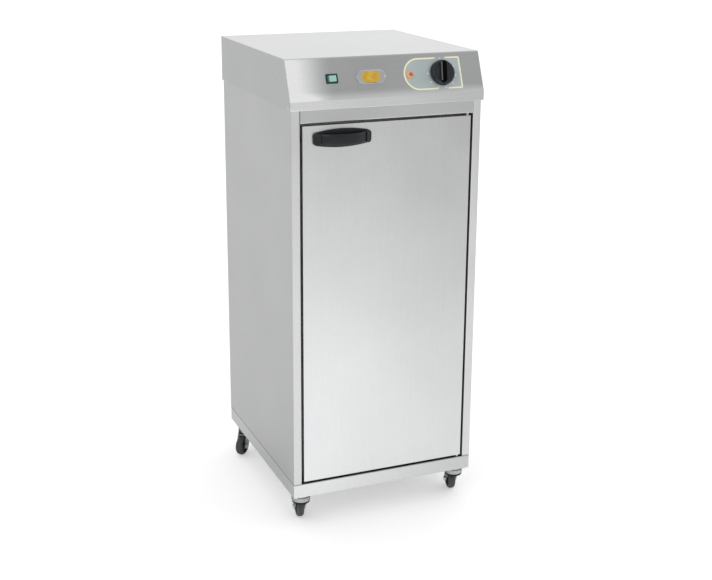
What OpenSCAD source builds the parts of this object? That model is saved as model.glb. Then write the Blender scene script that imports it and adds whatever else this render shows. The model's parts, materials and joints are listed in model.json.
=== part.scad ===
// Upright heated cabinet for plates, on four swivel casters, with a side-hinged
// door and a sloped control hood. Millimetres, +Z up, front towards -Y.

/* [Cabinet] */
// Width of the body without the hood's overhang
width = 450; // [380:1:520]
// Depth of the body from its front plane to its rear plane
depth = 494; // [420:1:600]
// Height of the door opening
open_h = 836.5; // [700:0.5:1100]
// Height of the base rail
base_h = 33; // [28:1:45]
// Width of each front post
post_w = 19.6; // [16:0.1:24]
// Height of the header between the door opening and the hood
header_h = 28.5; // [20:0.5:40]
// Thickness of the outer steel sheet
sheet = 1.2; // [0.8:0.1:1.5]
// Outside radius of the folded corners
fold_r = 3; // [2:0.5:4]

/* [Hood] */
// How far the hood stands out over the front and the sides
hood_over = 3.9; // [2.5:0.1:8]
// Height of the hood's upright lip
lip_h = 19.5; // [15:0.5:30]
// Height of the sloped fascia
fascia_rise = 86.5; // [80:0.5:110]
// How far the fascia's top lies behind its foot
fascia_back = 36; // [20:1:50]

/* [Cavity] */
// Height of the cavity floor over the base rail
cavity_sill = 26; // [20:1:40]
// Drop of the cavity ceiling under the door opening's top
cavity_head = 20; // [18:1:40]
// Thickness of the back wall with its insulation
back_wall = 40; // [30:1:60]
// Thickness of the liner sheet
liner_t = 1; // [0.8:0.1:1.5]

/* [Door] */
// Gap between the door and its opening
door_gap = 5; // [3:0.5:6]
// Thickness of the door
door_t = 28; // [24:1:36]
// Thickness of the door's sheets
door_sheet = 1; // [0.8:0.1:1.5]
// Thickness of the seal
seal_t = 5.7; // [4:0.1:8]
// Width of the seal strip
seal_w = 11; // [8:0.5:11]
// Distance from the hinge axis to the door's edge and to its front
hinge_in = 6.5; // [6:0.5:7]
// Radius of the hinge pins inside the bushes
pin_r = 2.5; // [2:0.1:2.8]
// Depth of the hinge pins in the bushes
pin_in = 12; // [8:1:20]

/* [Handle] */
// Length of the handle along the door
handle_l = 134.5; // [110:0.5:180]
// Distance from the door's free edge to the handle
handle_edge = 23; // [10:0.5:60]
// Distance from the door's top edge to the handle's middle
handle_drop = 29; // [26:1:80]
// How far the grip stands out from the door
handle_out = 32; // [28:1:45]
// Height of the grip band
grip_h = 24; // [16:1:30]
// Thickness of the grip band
grip_t = 5; // [4:0.5:8]
// Height of the handle's back plate in the middle
handle_plate_h = 41; // [34:1:46]
// Height of the handle's back plate at its ends
handle_plate_end_h = 29; // [20:1:33]

/* [Controls] */
// Knob centre, right of the middle
knob_x = 131; // [110:1:140]
// Height up the fascia of the knob's centre
knob_s = 46.5; // [44:0.5:50]
// Diameter of the knob
knob_d = 56; // [40:1:60]
// Height of the knob's round body
knob_h = 13; // [10:1:20]
// Radius of the thermostat shaft
shaft_r = 3; // [2.5:0.5:4]
// Lamp centre, right of the middle
lamp_x = 54; // [50:1:70]
// Radius of the lamp lens
lamp_r = 9; // [6:0.5:10]
// Switch centre, left of the middle
switch_x = 128.5; // [90:0.5:180]
// Width of the switch bezel
switch_w = 27; // [24:0.5:32]
// Height of the switch bezel
switch_h = 21; // [18:0.5:26]
// Tilt of the rocker to each side
rocker_tilt = 8; // [5:1:10]
// Badge centre, left of the middle
badge_x = 38; // [20:1:60]
// Length of the blank badge
badge_l = 70; // [50:1:80]
// Height of the blank badge
badge_h = 32; // [20:1:40]

/* [Shelves] */
// Height of the lower shelf over the cavity floor
shelf_lower_z = 300; // [220:1:340]
// Height of the upper shelf over the cavity floor
shelf_upper_z = 540; // [440:1:640]
// Diameter of the shelf's frame rod
rod_d = 6; // [5:0.5:8]
// Diameter of the shelf's wires
wire_d = 4; // [3:0.5:5]
// Number of wires across a shelf
wire_n = 15; // [9:1:21]
// Height of the heater guard over the cavity floor
guard_h = 42; // [36:1:60]
// Radius of the heating element's tube
element_r = 4; // [3:0.5:5]
// Distance between the element's runs
element_pitch = 72; // [50:1:76]

/* [Casters] */
// Total height of a caster
caster_h = 74.5; // [68:0.5:90]
// Diameter of the wheel
wheel_d = 50; // [40:1:56]
// Width of the tread
tread_w = 18; // [14:1:24]
// Distance from the swivel axis back to the axle
trail = 26; // [18:1:30]
// Size of the square mounting plate
plate_w = 50; // [46:1:56]
// Distance from the body's side to the swivel axis
caster_side_in = 27; // [26:1:60]
// Distance from the front plane to the front swivel axes
caster_front_in = 30; // [28:1:60]
// Distance from the rear plane to the rear swivel axes
caster_rear_in = 50; // [28:1:80]

/* [Hidden] */
$fn = 64;

// Clearances
fit_gap = 0.05;   // round running fits
rest_gap = 0.3;   // between parts that move past each other
through = 1;      // how far a cutting tool runs past a face

// Cable gland on the back: it sets the rear of the whole cabinet
gland_out = 16;
gland_r = 11;
gland_thread_r = 8;
gland_bore_r = 4.5;
gland_in = 75;      // from the body's side to the gland
gland_x = width / 2 - gland_in;

// Planes of the body, centred front to back on the whole cabinet
front_y = (handle_out - depth - gland_out) / 2;
rear_y = front_y + depth;
half_w = width / 2;
post_in = half_w - post_w;
base_z = caster_h;
open_z0 = base_z + base_h;
open_z1 = open_z0 + open_h;
lip_z = open_z1 + header_h;
fold_z = lip_z + lip_h;
top_z = fold_z + fascia_rise;
panel_top = fold_z - 1.5;   // side panels, header and deck end just under the hood's fold
deck_z = panel_top;
flange_w = 18;              // inward flanges of the base frame and of the side panels' rear edges

// Door and the frame that it closes against
door_x = post_in - door_gap;
door_z0 = open_z0 + door_gap;
door_z1 = open_z1 - door_gap;
door_back = front_y + door_t;
frame_y = door_back + rest_gap + seal_t;
hinge_x = door_x - hinge_in;
hinge_y = front_y + hinge_in;
bush_r = 4.5;
shoulder_r = 3.5;

// Heated cavity: its mouth leaves room for the seal beside the door's swinging corner
seal_edge = 1;
corner_clear = 1.4;
cav_x = door_x - 2 * hinge_in - corner_clear - seal_w - seal_edge;
cav_z0 = open_z0 + cavity_sill;
cav_z1 = open_z1 - cavity_head;
cav_y0 = frame_y + sheet;
cav_y1 = rear_y - back_wall;

// Sloped fascia: local X to the right, Y up the slope, Z outwards
lip_y = front_y - hood_over;
tilt = atan2(fascia_back, fascia_rise);

// Shelf standards
upright_t = 1.5;
upright_w = 20;
upright_in = 60;
slot_pitch = 50;
clip_t = 1.5;
clip_h = 18;
clip_w = 16;
clip_reach = 9;

// ---------- helpers ----------

// Box between two corners
module span(a, b) {
    translate(a) cube(b - a);
}

// Children and their mirror image across the middle
module both_sides() {
    children();
    mirror([1, 0, 0]) children();
}

// Quarter of a ring in the first quadrant, for a folded corner
module fold(r, t) {
    intersection() {
        difference() {
            circle(r);
            circle(r - t);
        }
        square(r + through);
    }
}

// Rectangle with round corners
module round_rect(a, b, r) {
    translate([a[0] + r, a[1]]) square([b[0] - a[0] - 2 * r, b[1] - a[1]]);
    translate([a[0], a[1] + r]) square([b[0] - a[0], b[1] - a[1] - 2 * r]);
    for (x = [a[0] + r, b[0] - r], y = [a[1] + r, b[1] - r]) {
        translate([x, y]) circle(r);
    }
}

// Flat rectangular ring standing across Y
module ring_y(outer, inner, z_out, z_in, y0, y1) {
    difference() {
        span([-outer, y0, z_out[0]], [outer, y1, z_out[1]]);
        span([-inner, y0 - through, z_in[0]], [inner, y1 + through, z_in[1]]);
    }
}

// Cylinder along Y from y0 to y1
module rod_y(x, y0, y1, z, r) {
    translate([x, y0, z]) rotate([-90, 0, 0]) cylinder(h = y1 - y0, r = r);
}

// Cylinder along X from x0 to x1
module rod_x(x0, x1, y, z, r) {
    translate([x0, y, z]) rotate([0, 90, 0]) cylinder(h = x1 - x0, r = r);
}

// Places children on the fascia's outer face
module on_fascia(x, s) {
    translate([0, lip_y, fold_z]) rotate([90 - tilt, 0, 0]) translate([x, s, 0]) children();
}

// Point on or behind the fascia, in the cabinet's frame
function fascia_point(x, s, out) = [
    x,
    lip_y + s * sin(tilt) - out * cos(tilt),
    fold_z + s * cos(tilt) + out * sin(tilt)
];

// Round wire through a list of points, with a slightly larger bead at each bend
module wire(points, r) {
    bead = 1.2;
    for (i = [0 : len(points) - 2]) {
        along = points[i + 1] - points[i];
        translate(points[i])
            rotate([0, acos(along[2] / norm(along)), atan2(along[1], along[0])])
                cylinder(h = norm(along), r = r);
    }
    for (i = [1 : len(points) - 2]) {
        translate(points[i]) sphere(bead * r);
    }
}

// ---------- cabinet shell ----------

module base_frame() {
    inner = [half_w - sheet, front_y + sheet, rear_y - sheet];
    color("silver") difference() {
        translate([0, 0, base_z]) linear_extrude(base_h)
            round_rect([-half_w, front_y], [half_w, rear_y], fold_r);
        span([-inner[0], inner[1], base_z + sheet], [inner[0], inner[2], open_z0 - sheet]);
        span([flange_w - half_w, cav_y0, base_z + sheet],
             [half_w - flange_w, rear_y - flange_w, open_z0 + through]);
        translate([hinge_x, hinge_y, open_z0 - sheet - through])
            cylinder(h = sheet + 2 * through, r = shoulder_r);
    }
}

// Outer skin, front post and rear flange, folded from one sheet
module side_panel() {
    color("gainsboro") difference() {
        translate([0, 0, open_z0]) linear_extrude(panel_top - open_z0) {
            translate([half_w - sheet, front_y + fold_r]) square([sheet, depth - fold_r - sheet]);
            translate([half_w - fold_r, front_y + fold_r]) rotate(-90) fold(fold_r, sheet);
            translate([post_in + fold_r, front_y]) square([post_w - 2 * fold_r, sheet]);
            translate([post_in + fold_r, front_y + fold_r]) rotate(180) fold(fold_r, sheet);
            translate([post_in, front_y + fold_r]) square([sheet, frame_y - front_y - fold_r]);
            translate([half_w - flange_w, rear_y - 2 * sheet]) square([flange_w, sheet]);
        }
        panel_screw_holes(screw_r);
    }
}

module side_panel_left() {
    mirror([1, 0, 0]) side_panel();
}

module side_panel_right() {
    side_panel();
}

module rear_panel() {
    color("gainsboro") difference() {
        span([-half_w, rear_y - sheet, open_z0], [half_w, rear_y, lip_z]);
        panel_screw_holes(screw_r);
    }
}

// Channel between the posts, with a lower flange that closes the door opening's top
module front_header() {
    x = post_in;
    color("gainsboro") difference() {
        union() {
            span([-x, front_y, open_z1 + fold_r], [x, front_y + sheet, panel_top]);
            translate([-x, front_y + fold_r, open_z1 + fold_r]) rotate([90, 0, 90])
                linear_extrude(2 * x) rotate(180) fold(fold_r, sheet);
            span([-x, front_y + fold_r, open_z1], [x, frame_y, open_z1 + sheet]);
        }
        translate([hinge_x, hinge_y, open_z1 - through])
            cylinder(h = sheet + 2 * through, r = shoulder_r);
    }
}

module top_deck() {
    color("silver") difference() {
        span([sheet - half_w, front_y + sheet, deck_z - sheet],
             [half_w - sheet, rear_y - 2 * sheet, deck_z]);
        both_sides()
            span([post_in, front_y, deck_z - sheet - through],
                 [half_w, frame_y, deck_z + through]);
        capillary_hole(deck_z - sheet - through, deck_z + through);
    }
}

// Side outline of the hood; inset is the distance from the outer faces
module hood_outline(inset) {
    fold_in = inset * tan(tilt / 2);
    top_in = inset * (1 - sin(tilt)) / cos(tilt);
    polygon([
        [lip_y + inset, lip_z - (inset > 0 ? through : 0)],
        [lip_y + inset, fold_z - fold_in],
        [lip_y + fascia_back + top_in, top_z - inset],
        [rear_y - inset, top_z - inset],
        [rear_y - inset, lip_z - (inset > 0 ? through : 0)]
    ]);
}

module hood() {
    x = half_w + hood_over;
    hem = hood_over - sheet;
    color("gainsboro") difference() {
        union() {
            difference() {
                translate([-x, 0, 0]) rotate([90, 0, 90]) linear_extrude(2 * x) hood_outline(0);
                translate([sheet - x, 0, 0]) rotate([90, 0, 90])
                    linear_extrude(2 * (x - sheet)) hood_outline(sheet);
            }
            // Hem that closes the overhang under the front and the sides
            span([-x + sheet / 2, front_y - hem - sheet / 2, lip_z],
                 [x - sheet / 2, front_y, lip_z + sheet]);
            both_sides()
                span([half_w, front_y - sheet / 2, lip_z],
                     [half_w + hem + sheet / 2, rear_y - sheet / 2, lip_z + sheet]);
        }
        on_fascia(knob_x, knob_s) cylinder(h = 4 * sheet, r = shaft_r + 1.5, center = true);
        on_fascia(lamp_x, knob_s) cylinder(h = 4 * sheet, r = lamp_stem_r, center = true);
        on_fascia(-switch_x, knob_s)
            cube([switch_w - 2 * bezel_edge, switch_h - 2 * bezel_edge, 4 * sheet], center = true);
        panel_screw_holes(screw_r);
        rod_y(gland_x, rear_y - sheet - through, rear_y + through, gland_z, gland_thread_r);
    }
}

// Frame round the cavity's mouth, which carries the seal
module door_frame() {
    color("silver")
        ring_y(post_in + sheet, cav_x, [open_z0, open_z1 + sheet], [cav_z0, cav_z1], frame_y, cav_y0);
}

// ---------- cavity ----------

module liner_sides() {
    color("lightgray") both_sides()
        span([cav_x, cav_y0, cav_z0 - liner_t], [cav_x + liner_t, cav_y1, cav_z1 + liner_t]);
}

module liner_ends() {
    color("lightgray") difference() {
        union() {
            span([-cav_x, cav_y0, cav_z0 - liner_t], [cav_x, cav_y1, cav_z0]);
            span([-cav_x, cav_y0, cav_z1], [cav_x, cav_y1, cav_z1 + liner_t]);
        }
        capillary_hole(cav_z1 - through, cav_z1 + liner_t + through);
    }
}

module liner_back() {
    color("lightgray") difference() {
        span([-cav_x - liner_t, cav_y1, cav_z0 - liner_t],
             [cav_x + liner_t, cav_y1 + liner_t, cav_z1 + liner_t]);
        element_holes();
    }
}

// Slabs between the liner and the outer skin
module insulation() {
    side_x = half_w - sheet;
    slab_x = cav_x + liner_t;
    back_y = cav_y1 + liner_t;
    flange_y = rear_y - 2 * sheet;
    color("khaki") difference() {
        union() {
            both_sides()
                span([slab_x, cav_y0, open_z0], [side_x, back_y, cav_z1 + liner_t]);
            span([-side_x, back_y, open_z0], [side_x, flange_y, cav_z1 + liner_t]);
            span([-side_x, cav_y0, cav_z1 + liner_t], [side_x, flange_y, deck_z - sheet]);
            span([-slab_x, cav_y0, base_z + sheet], [slab_x, back_y, cav_z0 - liner_t]);
        }
        capillary_hole(cav_z1, deck_z);
        element_holes();
        panel_screw_holes(screw_r + rest_gap);
    }
}

module door_seal() {
    x = cav_x + seal_edge;
    color("dimgray")
        ring_y(x + seal_w, x, [cav_z0 - seal_edge - seal_w, cav_z1 + seal_edge + seal_w],
               [cav_z0 - seal_edge, cav_z1 + seal_edge], frame_y - seal_t, frame_y);
}

// Four slotted standards that carry the shelf clips
module shelf_uprights() {
    z0 = cav_z0 + guard_h + 10;
    z1 = cav_z1 - 10;
    slots = floor((z1 - z0 - slot_pitch / 2) / slot_pitch);
    color("silver") both_sides() for (y = upright_y()) {
        difference() {
            span([cav_x - upright_t, y - upright_w / 2, z0], [cav_x, y + upright_w / 2, z1]);
            for (i = [0 : slots]) {
                span([cav_x - upright_t - through, y - 3, z0 + slot_pitch * (i + 0.5)],
                     [cav_x + through, y + 3, z0 + slot_pitch * (i + 0.5) + 12]);
            }
        }
    }
}

function upright_y() = [cav_y0 + upright_in, cav_y1 - upright_in];

module shelf_clips() {
    x = cav_x - upright_t;
    color("silver") both_sides() for (y = upright_y(), z = [shelf_lower_z, shelf_upper_z]) {
        top = cav_z0 + z;
        span([x - clip_t, y - clip_w / 2, top - clip_h], [x, y + clip_w / 2, top]);
        span([x - clip_reach, y - clip_w / 2, top - clip_t], [x, y + clip_w / 2, top]);
    }
}

// Wire shelf: a frame of thick rod with thin wires welded on top
module shelf(z) {
    rod_r = rod_d / 2;
    side_gap = 1.5;
    x = cav_x - upright_t - side_gap - rod_r;
    y0 = cav_y0 + 8;
    y1 = cav_y1 - 6;
    rod_z = cav_z0 + z + rod_r;
    weld = wire_d / 10;
    wire_z = rod_z + rod_r + wire_d / 2 - weld;
    step = 2 * x / (wire_n + 1);
    color("silver") {
        for (side = [-x, x]) {
            rod_y(side, y0, y1, rod_z, rod_r);
        }
        for (y = [y0 + rod_r, (y0 + y1) / 2, y1 - rod_r]) {
            rod_x(-x, x, y, rod_z, rod_r);
        }
        for (i = [1 : wire_n]) {
            rod_y(-x + i * step, y0, y1, wire_z, wire_d / 2);
        }
    }
}

module shelf_lower() {
    shelf(shelf_lower_z);
}

module shelf_upper() {
    shelf(shelf_upper_z);
}

// ---------- heating ----------

element_z = cav_z0 + guard_h / 2;
element_x = [for (i = [-1.5, -0.5, 0.5, 1.5]) i * element_pitch];
element_bend_r = element_pitch / 2;
element_front_in = 30;  // from the cavity's mouth to the element's front turns
element_rear_in = 20;   // from the back liner to its rear turn
element_y0 = cav_y0 + element_front_in + element_bend_r;
element_y1 = cav_y1 - element_rear_in - element_bend_r;
element_tail = 18;

module element_holes() {
    for (x = [element_x[0], element_x[3]]) {
        rod_y(x, cav_y1 - through, cav_y1 + liner_t + element_tail + through, element_z,
              element_r + through);
    }
}

// Half ring lying flat, for the element's turns
module element_bend(x, y, turn) {
    translate([x, y, element_z]) rotate([0, 0, turn])
        rotate_extrude(angle = 180) translate([element_bend_r, 0]) circle(element_r);
}

module heating_element() {
    tail_y = cav_y1 + liner_t + element_tail;
    color("dimgray") {
        rod_y(element_x[0], element_y0, tail_y, element_z, element_r);
        rod_y(element_x[1], element_y0, element_y1, element_z, element_r);
        rod_y(element_x[2], element_y0, element_y1, element_z, element_r);
        rod_y(element_x[3], element_y0, tail_y, element_z, element_r);
        element_bend(-element_pitch, element_y0, 180);
        element_bend(element_pitch, element_y0, 180);
        element_bend(0, element_y1, 0);
        // Flanges that seat the ends on the back liner
        for (x = [element_x[0], element_x[3]]) {
            rod_y(x, cav_y1 - 3, cav_y1, element_z, element_r + 6);
        }
    }
}

// Perforated cover that stands on the cavity floor and holds the element
module heater_guard() {
    t = 1.5;
    x = cav_x - 2;
    y0 = cav_y0 + 4;
    y1 = cav_y1 - 6;
    z = cav_z0 + guard_h;
    cols = 8;
    rows = 4;
    slot_web = 22;
    slot = [8, (y1 - y0) / rows - slot_web];
    slot_r = 3;
    tab = [14, 8];
    tab_under = 2;
    tab_y = [element_y0 + 10, element_y1 - 10];
    color("silver") difference() {
        union() {
            span([-x, y0, z - t], [x, y1, z]);
            both_sides() span([x - t, y0, cav_z0], [x, y1, z]);
            // Tabs that hang from the cover and hold the element's runs
            for (ex = element_x, y = tab_y) {
                span([ex - tab[0] / 2, y - tab[1] / 2, element_z - element_r - tab_under],
                     [ex + tab[0] / 2, y + tab[1] / 2, z - t / 2]);
            }
        }
        for (ex = element_x, y = tab_y) {
            rod_y(ex, y - tab[1] / 2 - through, y + tab[1] / 2 + through, element_z,
                  element_r + fit_gap);
        }
        for (i = [0 : cols - 1], j = [0 : rows - 1]) {
            cx = (i - (cols - 1) / 2) * element_pitch / 2;
            cy = y0 + (j + 0.5) * (y1 - y0) / rows;
            translate([0, 0, z - t - through]) linear_extrude(t + 2 * through)
                round_rect([cx - slot[0] / 2, cy - slot[1] / 2],
                           [cx + slot[0] / 2, cy + slot[1] / 2], slot_r);
        }
    }
}

// ---------- controls ----------

thermo = [36, 32, 26];
film_t = 0.5;
badge_t = 1.2;
dial_r = 36.5;      // half the dial plate's height
dial_left = 15;     // from the lamp to the plate's round end
dial_right = 48;    // from the knob to the plate's square end
shaft_in = 16;
shaft_out = 12;
knob_seat = film_t + rest_gap;
lamp_stem_r = 6;
lamp_body_l = 22;
bezel_edge = 2;
bezel_t = 1.6;
switch_body_l = 20;
pivot_r = 1.5;
pocket_gap = 0.5;
switch_wall = 1.5;
rocker_w = switch_w - 2 * (bezel_edge + switch_wall + pocket_gap);
rocker_h = switch_h - 2 * (bezel_edge + switch_wall + pocket_gap);
pivot_l = rocker_h + 2 * (pocket_gap + switch_wall) - 1;

module thermostat() {
    color("whitesmoke") on_fascia(knob_x, knob_s) difference() {
        translate([-thermo[0] / 2, -thermo[1] / 2, -sheet - thermo[2]]) cube(thermo);
        translate([0, 0, -sheet - shaft_in - rest_gap]) cylinder(h = thermo[2], r = shaft_r + fit_gap);
    }
}

// Sensor bulb under the cavity ceiling, its clip and its capillary tube
bulb_r = 3.5;
bulb_l = 90;
bulb_in = 80;           // from the cavity's back to the bulb
bulb_y = cav_y1 - bulb_in;
bulb_x = 80;
bulb_drop = 14;
bulb_clip = [10, 4];
bulb_clip_in = [20, 75]; // from the bulb's right end to its clips
capillary_r = 1;

module capillary_hole(z0, z1) {
    translate([bulb_x, bulb_y, z0]) cylinder(h = z1 - z0, r = capillary_r + 1.5);
}

module thermostat_bulb() {
    z = cav_z1 - bulb_drop;
    entry = [knob_x + 8, knob_s + 4];
    rear = -sheet - thermo[2];
    bend = fascia_point(entry[0], entry[1], rear - 8);
    run_z = bend[2] + 2;
    color("chocolate") {
        rod_x(bulb_x - bulb_l, bulb_x, bulb_y, z, bulb_r);
        for (clip_in = bulb_clip_in) {
            x = bulb_x - clip_in;
            span([x - bulb_clip[0] / 2, bulb_y - bulb_clip[1] / 2, z],
                 [x + bulb_clip[0] / 2, bulb_y + bulb_clip[1] / 2, cav_z1]);
        }
        wire([
            [bulb_x - 3, bulb_y, z],
            [bulb_x, bulb_y, z],
            [bulb_x, bulb_y, run_z],
            [entry[0], bulb_y, run_z],
            [entry[0], bend[1], run_z],
            bend,
            fascia_point(entry[0], entry[1], rear)
        ], capillary_r);
    }
}

module switch_housing() {
    body = [switch_w - 2 * bezel_edge, switch_h - 2 * bezel_edge];
    pocket = [rocker_w + 2 * pocket_gap, rocker_h + 2 * pocket_gap];
    color("darkslategray") on_fascia(-switch_x, knob_s) difference() {
        union() {
            linear_extrude(bezel_t)
                round_rect([-switch_w / 2, -switch_h / 2], [switch_w / 2, switch_h / 2], 2);
            translate([-body[0] / 2, -body[1] / 2, -switch_body_l])
                cube([body[0], body[1], switch_body_l]);
        }
        translate([-pocket[0] / 2, -pocket[1] / 2, -8])
            cube([pocket[0], pocket[1], 8 + bezel_t + through]);
        rotate([90, 0, 0]) cylinder(h = pivot_l + rest_gap, r = pivot_r + fit_gap, center = true);
    }
}

// Rocker at rest with its left end pressed in
module rocker() {
    half = rocker_w / 2;
    color("mediumseagreen") on_fascia(-switch_x, knob_s) rotate([0, -rocker_tilt, 0]) {
        rotate([90, 0, 0]) linear_extrude(rocker_h, center = true)
            polygon([[-half, -3], [half, -3], [half, 3], [0, 1.6], [-half, 3]]);
        rotate([90, 0, 0]) cylinder(h = pivot_l, r = pivot_r, center = true);
    }
}

module lamp_body() {
    color("whitesmoke") on_fascia(lamp_x, knob_s) difference() {
        translate([0, 0, -sheet - lamp_body_l]) cylinder(h = lamp_body_l, r = lamp_stem_r + 2);
        translate([0, 0, -sheet - 10]) cylinder(h = 10 + through, r = lamp_stem_r);
    }
}

module lamp_lens() {
    dome = 3.5;
    color("orangered") on_fascia(lamp_x, knob_s) {
        rotate_extrude() polygon(concat(
            [[0, -sheet - 10], [lamp_stem_r, -sheet - 10], [lamp_stem_r, film_t], [lamp_r, film_t]],
            [for (a = [0 : 15 : 90]) [lamp_r * cos(a), film_t + 1.5 + dome * sin(a)]]
        ));
    }
}

// Printed plate behind the knob and the lamp: round at the left, square at the right
module dial_plate() {
    round_x = lamp_x - knob_x - dial_left + dial_r;
    color("lightsteelblue") on_fascia(knob_x, knob_s) difference() {
        linear_extrude(film_t) {
            translate([round_x, 0]) circle(dial_r);
            translate([round_x, -dial_r]) square([dial_right - round_x, 2 * dial_r]);
        }
        translate([0, 0, -through]) cylinder(h = 2 * through + film_t, r = shaft_r + 1.5);
        translate([lamp_x - knob_x, 0, -through]) cylinder(h = 2 * through + film_t, r = lamp_stem_r);
    }
}

module badge_plate() {
    r = badge_h / 2;
    color("goldenrod") on_fascia(-badge_x, knob_s) linear_extrude(badge_t) {
        square([badge_l - badge_h, badge_h], center = true);
        for (x = [r - badge_l / 2, badge_l / 2 - r]) {
            translate([x, 0]) circle(r);
        }
    }
}

// Knob with fluted rim and a raised grip bar; it points up the fascia at rest
module thermostat_knob() {
    r = knob_d / 2;
    rim_h = knob_h * 0.7;
    rim_in = 1.5;
    flutes = 36;
    flute_r = 1.4;
    bar_w = 9;
    bar_h = 8;
    color("#202226") on_fascia(knob_x, knob_s) translate([0, 0, knob_seat]) difference() {
        union() {
            rotate_extrude() polygon([
                [0, 0], [r, 0], [r, rim_h], [r - rim_in, knob_h], [0, knob_h]
            ]);
            intersection() {
                translate([-bar_w / 2, -r, 0]) cube([bar_w, 2 * r, knob_h + bar_h]);
                cylinder(h = knob_h + bar_h, r = r - rim_in);
            }
        }
        for (i = [0 : flutes - 1]) {
            rotate([0, 0, i * 360 / flutes]) translate([r + flute_r / 2, 0, -through])
                cylinder(h = rim_h + through, r = flute_r, $fn = 24);
        }
        translate([0, 0, -through]) cylinder(h = shaft_out - knob_seat + through, r = shaft_r);
    }
}

module thermostat_shaft() {
    color("silver") on_fascia(knob_x, knob_s)
        translate([0, 0, -sheet - shaft_in]) cylinder(h = sheet + shaft_in + shaft_out, r = shaft_r);
}

// ---------- supply ----------

gland_up = 30;      // from the hood's fold to the gland
gland_z = fold_z + gland_up;
block = [40, 18, 16];
block_x = 0;
block_in = 90;      // from the rear plane to the terminals
block_y = rear_y - block_in;
terminal_pitch = 12;

module terminal_block() {
    color("whitesmoke") difference() {
        translate([block_x - block[0] / 2, block_y - block[1] / 2, deck_z]) cube(block);
        for (i = [-1 : 1]) {
            translate([block_x + i * terminal_pitch, block_y, deck_z + block[2] / 2])
                cylinder(h = block[2], r = 2.5);
        }
    }
}

// Wires from the terminals to the switch, the thermostat and the lamp
module wiring() {
    z_low = deck_z + block[2] / 2;
    // Terminal, place on the fascia, depth of the rear face, and rise over it
    ends = [
        [-1, -switch_x, knob_s, -switch_body_l, 6],
        [1, lamp_x, knob_s, -sheet - lamp_body_l, 6],
        [0, knob_x - 10, knob_s - 8, -sheet - thermo[2], 22]
    ];
    color("firebrick") for (end = ends) {
        x = block_x + end[0] * terminal_pitch;
        bend = fascia_point(end[1], end[2], end[3] - 10);
        z = bend[2] + end[4];
        wire([
            [x, block_y, z_low],
            [x, block_y, z],
            [bend[0], block_y, z],
            [bend[0], bend[1], z],
            bend,
            fascia_point(end[1], end[2], end[3])
        ], 1.3);
    }
}

module cable_gland() {
    nut_h = 5;
    color("#2b2b2b") translate([gland_x, rear_y, gland_z]) rotate([-90, 0, 0]) difference() {
        union() {
            cylinder(h = 6, r = gland_r, $fn = 6);
            cylinder(h = gland_out, r = gland_r - 2);
            translate([0, 0, -sheet]) cylinder(h = sheet, r = gland_thread_r);
            translate([0, 0, -sheet - nut_h]) cylinder(h = nut_h, r = gland_r, $fn = 6);
        }
        translate([0, 0, -sheet - nut_h - through])
            cylinder(h = gland_out + sheet + nut_h + 2 * through, r = gland_bore_r);
    }
}

// ---------- screws ----------

screw_r = 2;
head_r = 4.2;
head_h = 2;
screw_l = 8;
hood_screw_in = [9, 40];
hood_screw_up = 5;
hood_screw_y = [front_y + hood_screw_in[0], rear_y - hood_screw_in[1]];
hood_screw_z = lip_z + hood_screw_up;
rear_screw_in = 40;   // from the rear panel's ends to its screws

// Pan-head screw along +Z from its head's seat at the origin, with the shank going down
module screw() {
    cylinder(h = head_h, r = head_r);
    translate([0, 0, -screw_l]) cylinder(h = screw_l, r = screw_r);
}

// Places children at each screw that holds the hood's sides and the rear panel
module at_panel_screws() {
    both_sides() {
        for (y = hood_screw_y) {
            translate([half_w + hood_over, y, hood_screw_z]) rotate([0, 90, 0]) children();
        }
        for (z = [open_z0 + rear_screw_in, (open_z0 + lip_z) / 2, lip_z - rear_screw_in]) {
            translate([half_w - flange_w / 2, rear_y, z]) rotate([-90, 0, 0]) children();
        }
    }
}

module panel_screw_holes(r) {
    at_panel_screws() translate([0, 0, -screw_l - rest_gap]) cylinder(h = screw_l + through, r = r);
}

module panel_screws() {
    color("silver") at_panel_screws() screw();
}

// ---------- hinges and catch ----------

bracket = [36, 20, 3];
bracket_end = 8;    // from the hinge axis to the plate's near end

module hinge_bracket(z, up) {
    seat = bracket[2] + sheet + door_gap;
    translate([0, 0, z]) mirror([0, 0, up ? 0 : 1]) translate([hinge_x, hinge_y, -bracket[2]]) {
        translate([bracket_end - bracket[0], front_y + fold_r + rest_gap - hinge_y, 0]) cube(bracket);
        cylinder(h = seat - rest_gap, r = shoulder_r);
        cylinder(h = seat + pin_in, r = pin_r);
    }
}

// Plate with a shouldered pin above and below the door, inside the header and the base
module hinge_brackets() {
    color("silver") {
        hinge_bracket(open_z0 - sheet, true);
        hinge_bracket(open_z1 + sheet, false);
    }
}

strike_t = 0.5;
catch_gap = 2;      // between the seal and the catch
catch_w = 11;
catch_l = 60;
catch_drop = 90;    // from the door's top edge to the catch
catch_x0 = cav_x + seal_edge + seal_w + catch_gap;
catch_x = [catch_x0, catch_x0 + catch_w];
catch_z = [door_z1 - catch_drop - catch_l, door_z1 - catch_drop];

module magnet_catch() {
    color("dimgray")
        span([-catch_x[1], door_back + strike_t + rest_gap, catch_z[0]],
             [-catch_x[0], frame_y, catch_z[1]]);
}

module strike_plate() {
    color("silver")
        span([-catch_x[1], door_back, catch_z[0]], [-catch_x[0], door_back + strike_t, catch_z[1]]);
}

// ---------- door ----------

module bush_cut(grow) {
    for (z = [door_z0 - through, door_z1 - pin_in - 2 * rest_gap]) {
        translate([hinge_x, hinge_y, z])
            cylinder(h = pin_in + 2 * rest_gap + through, r = bush_r + grow);
    }
}

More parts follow.
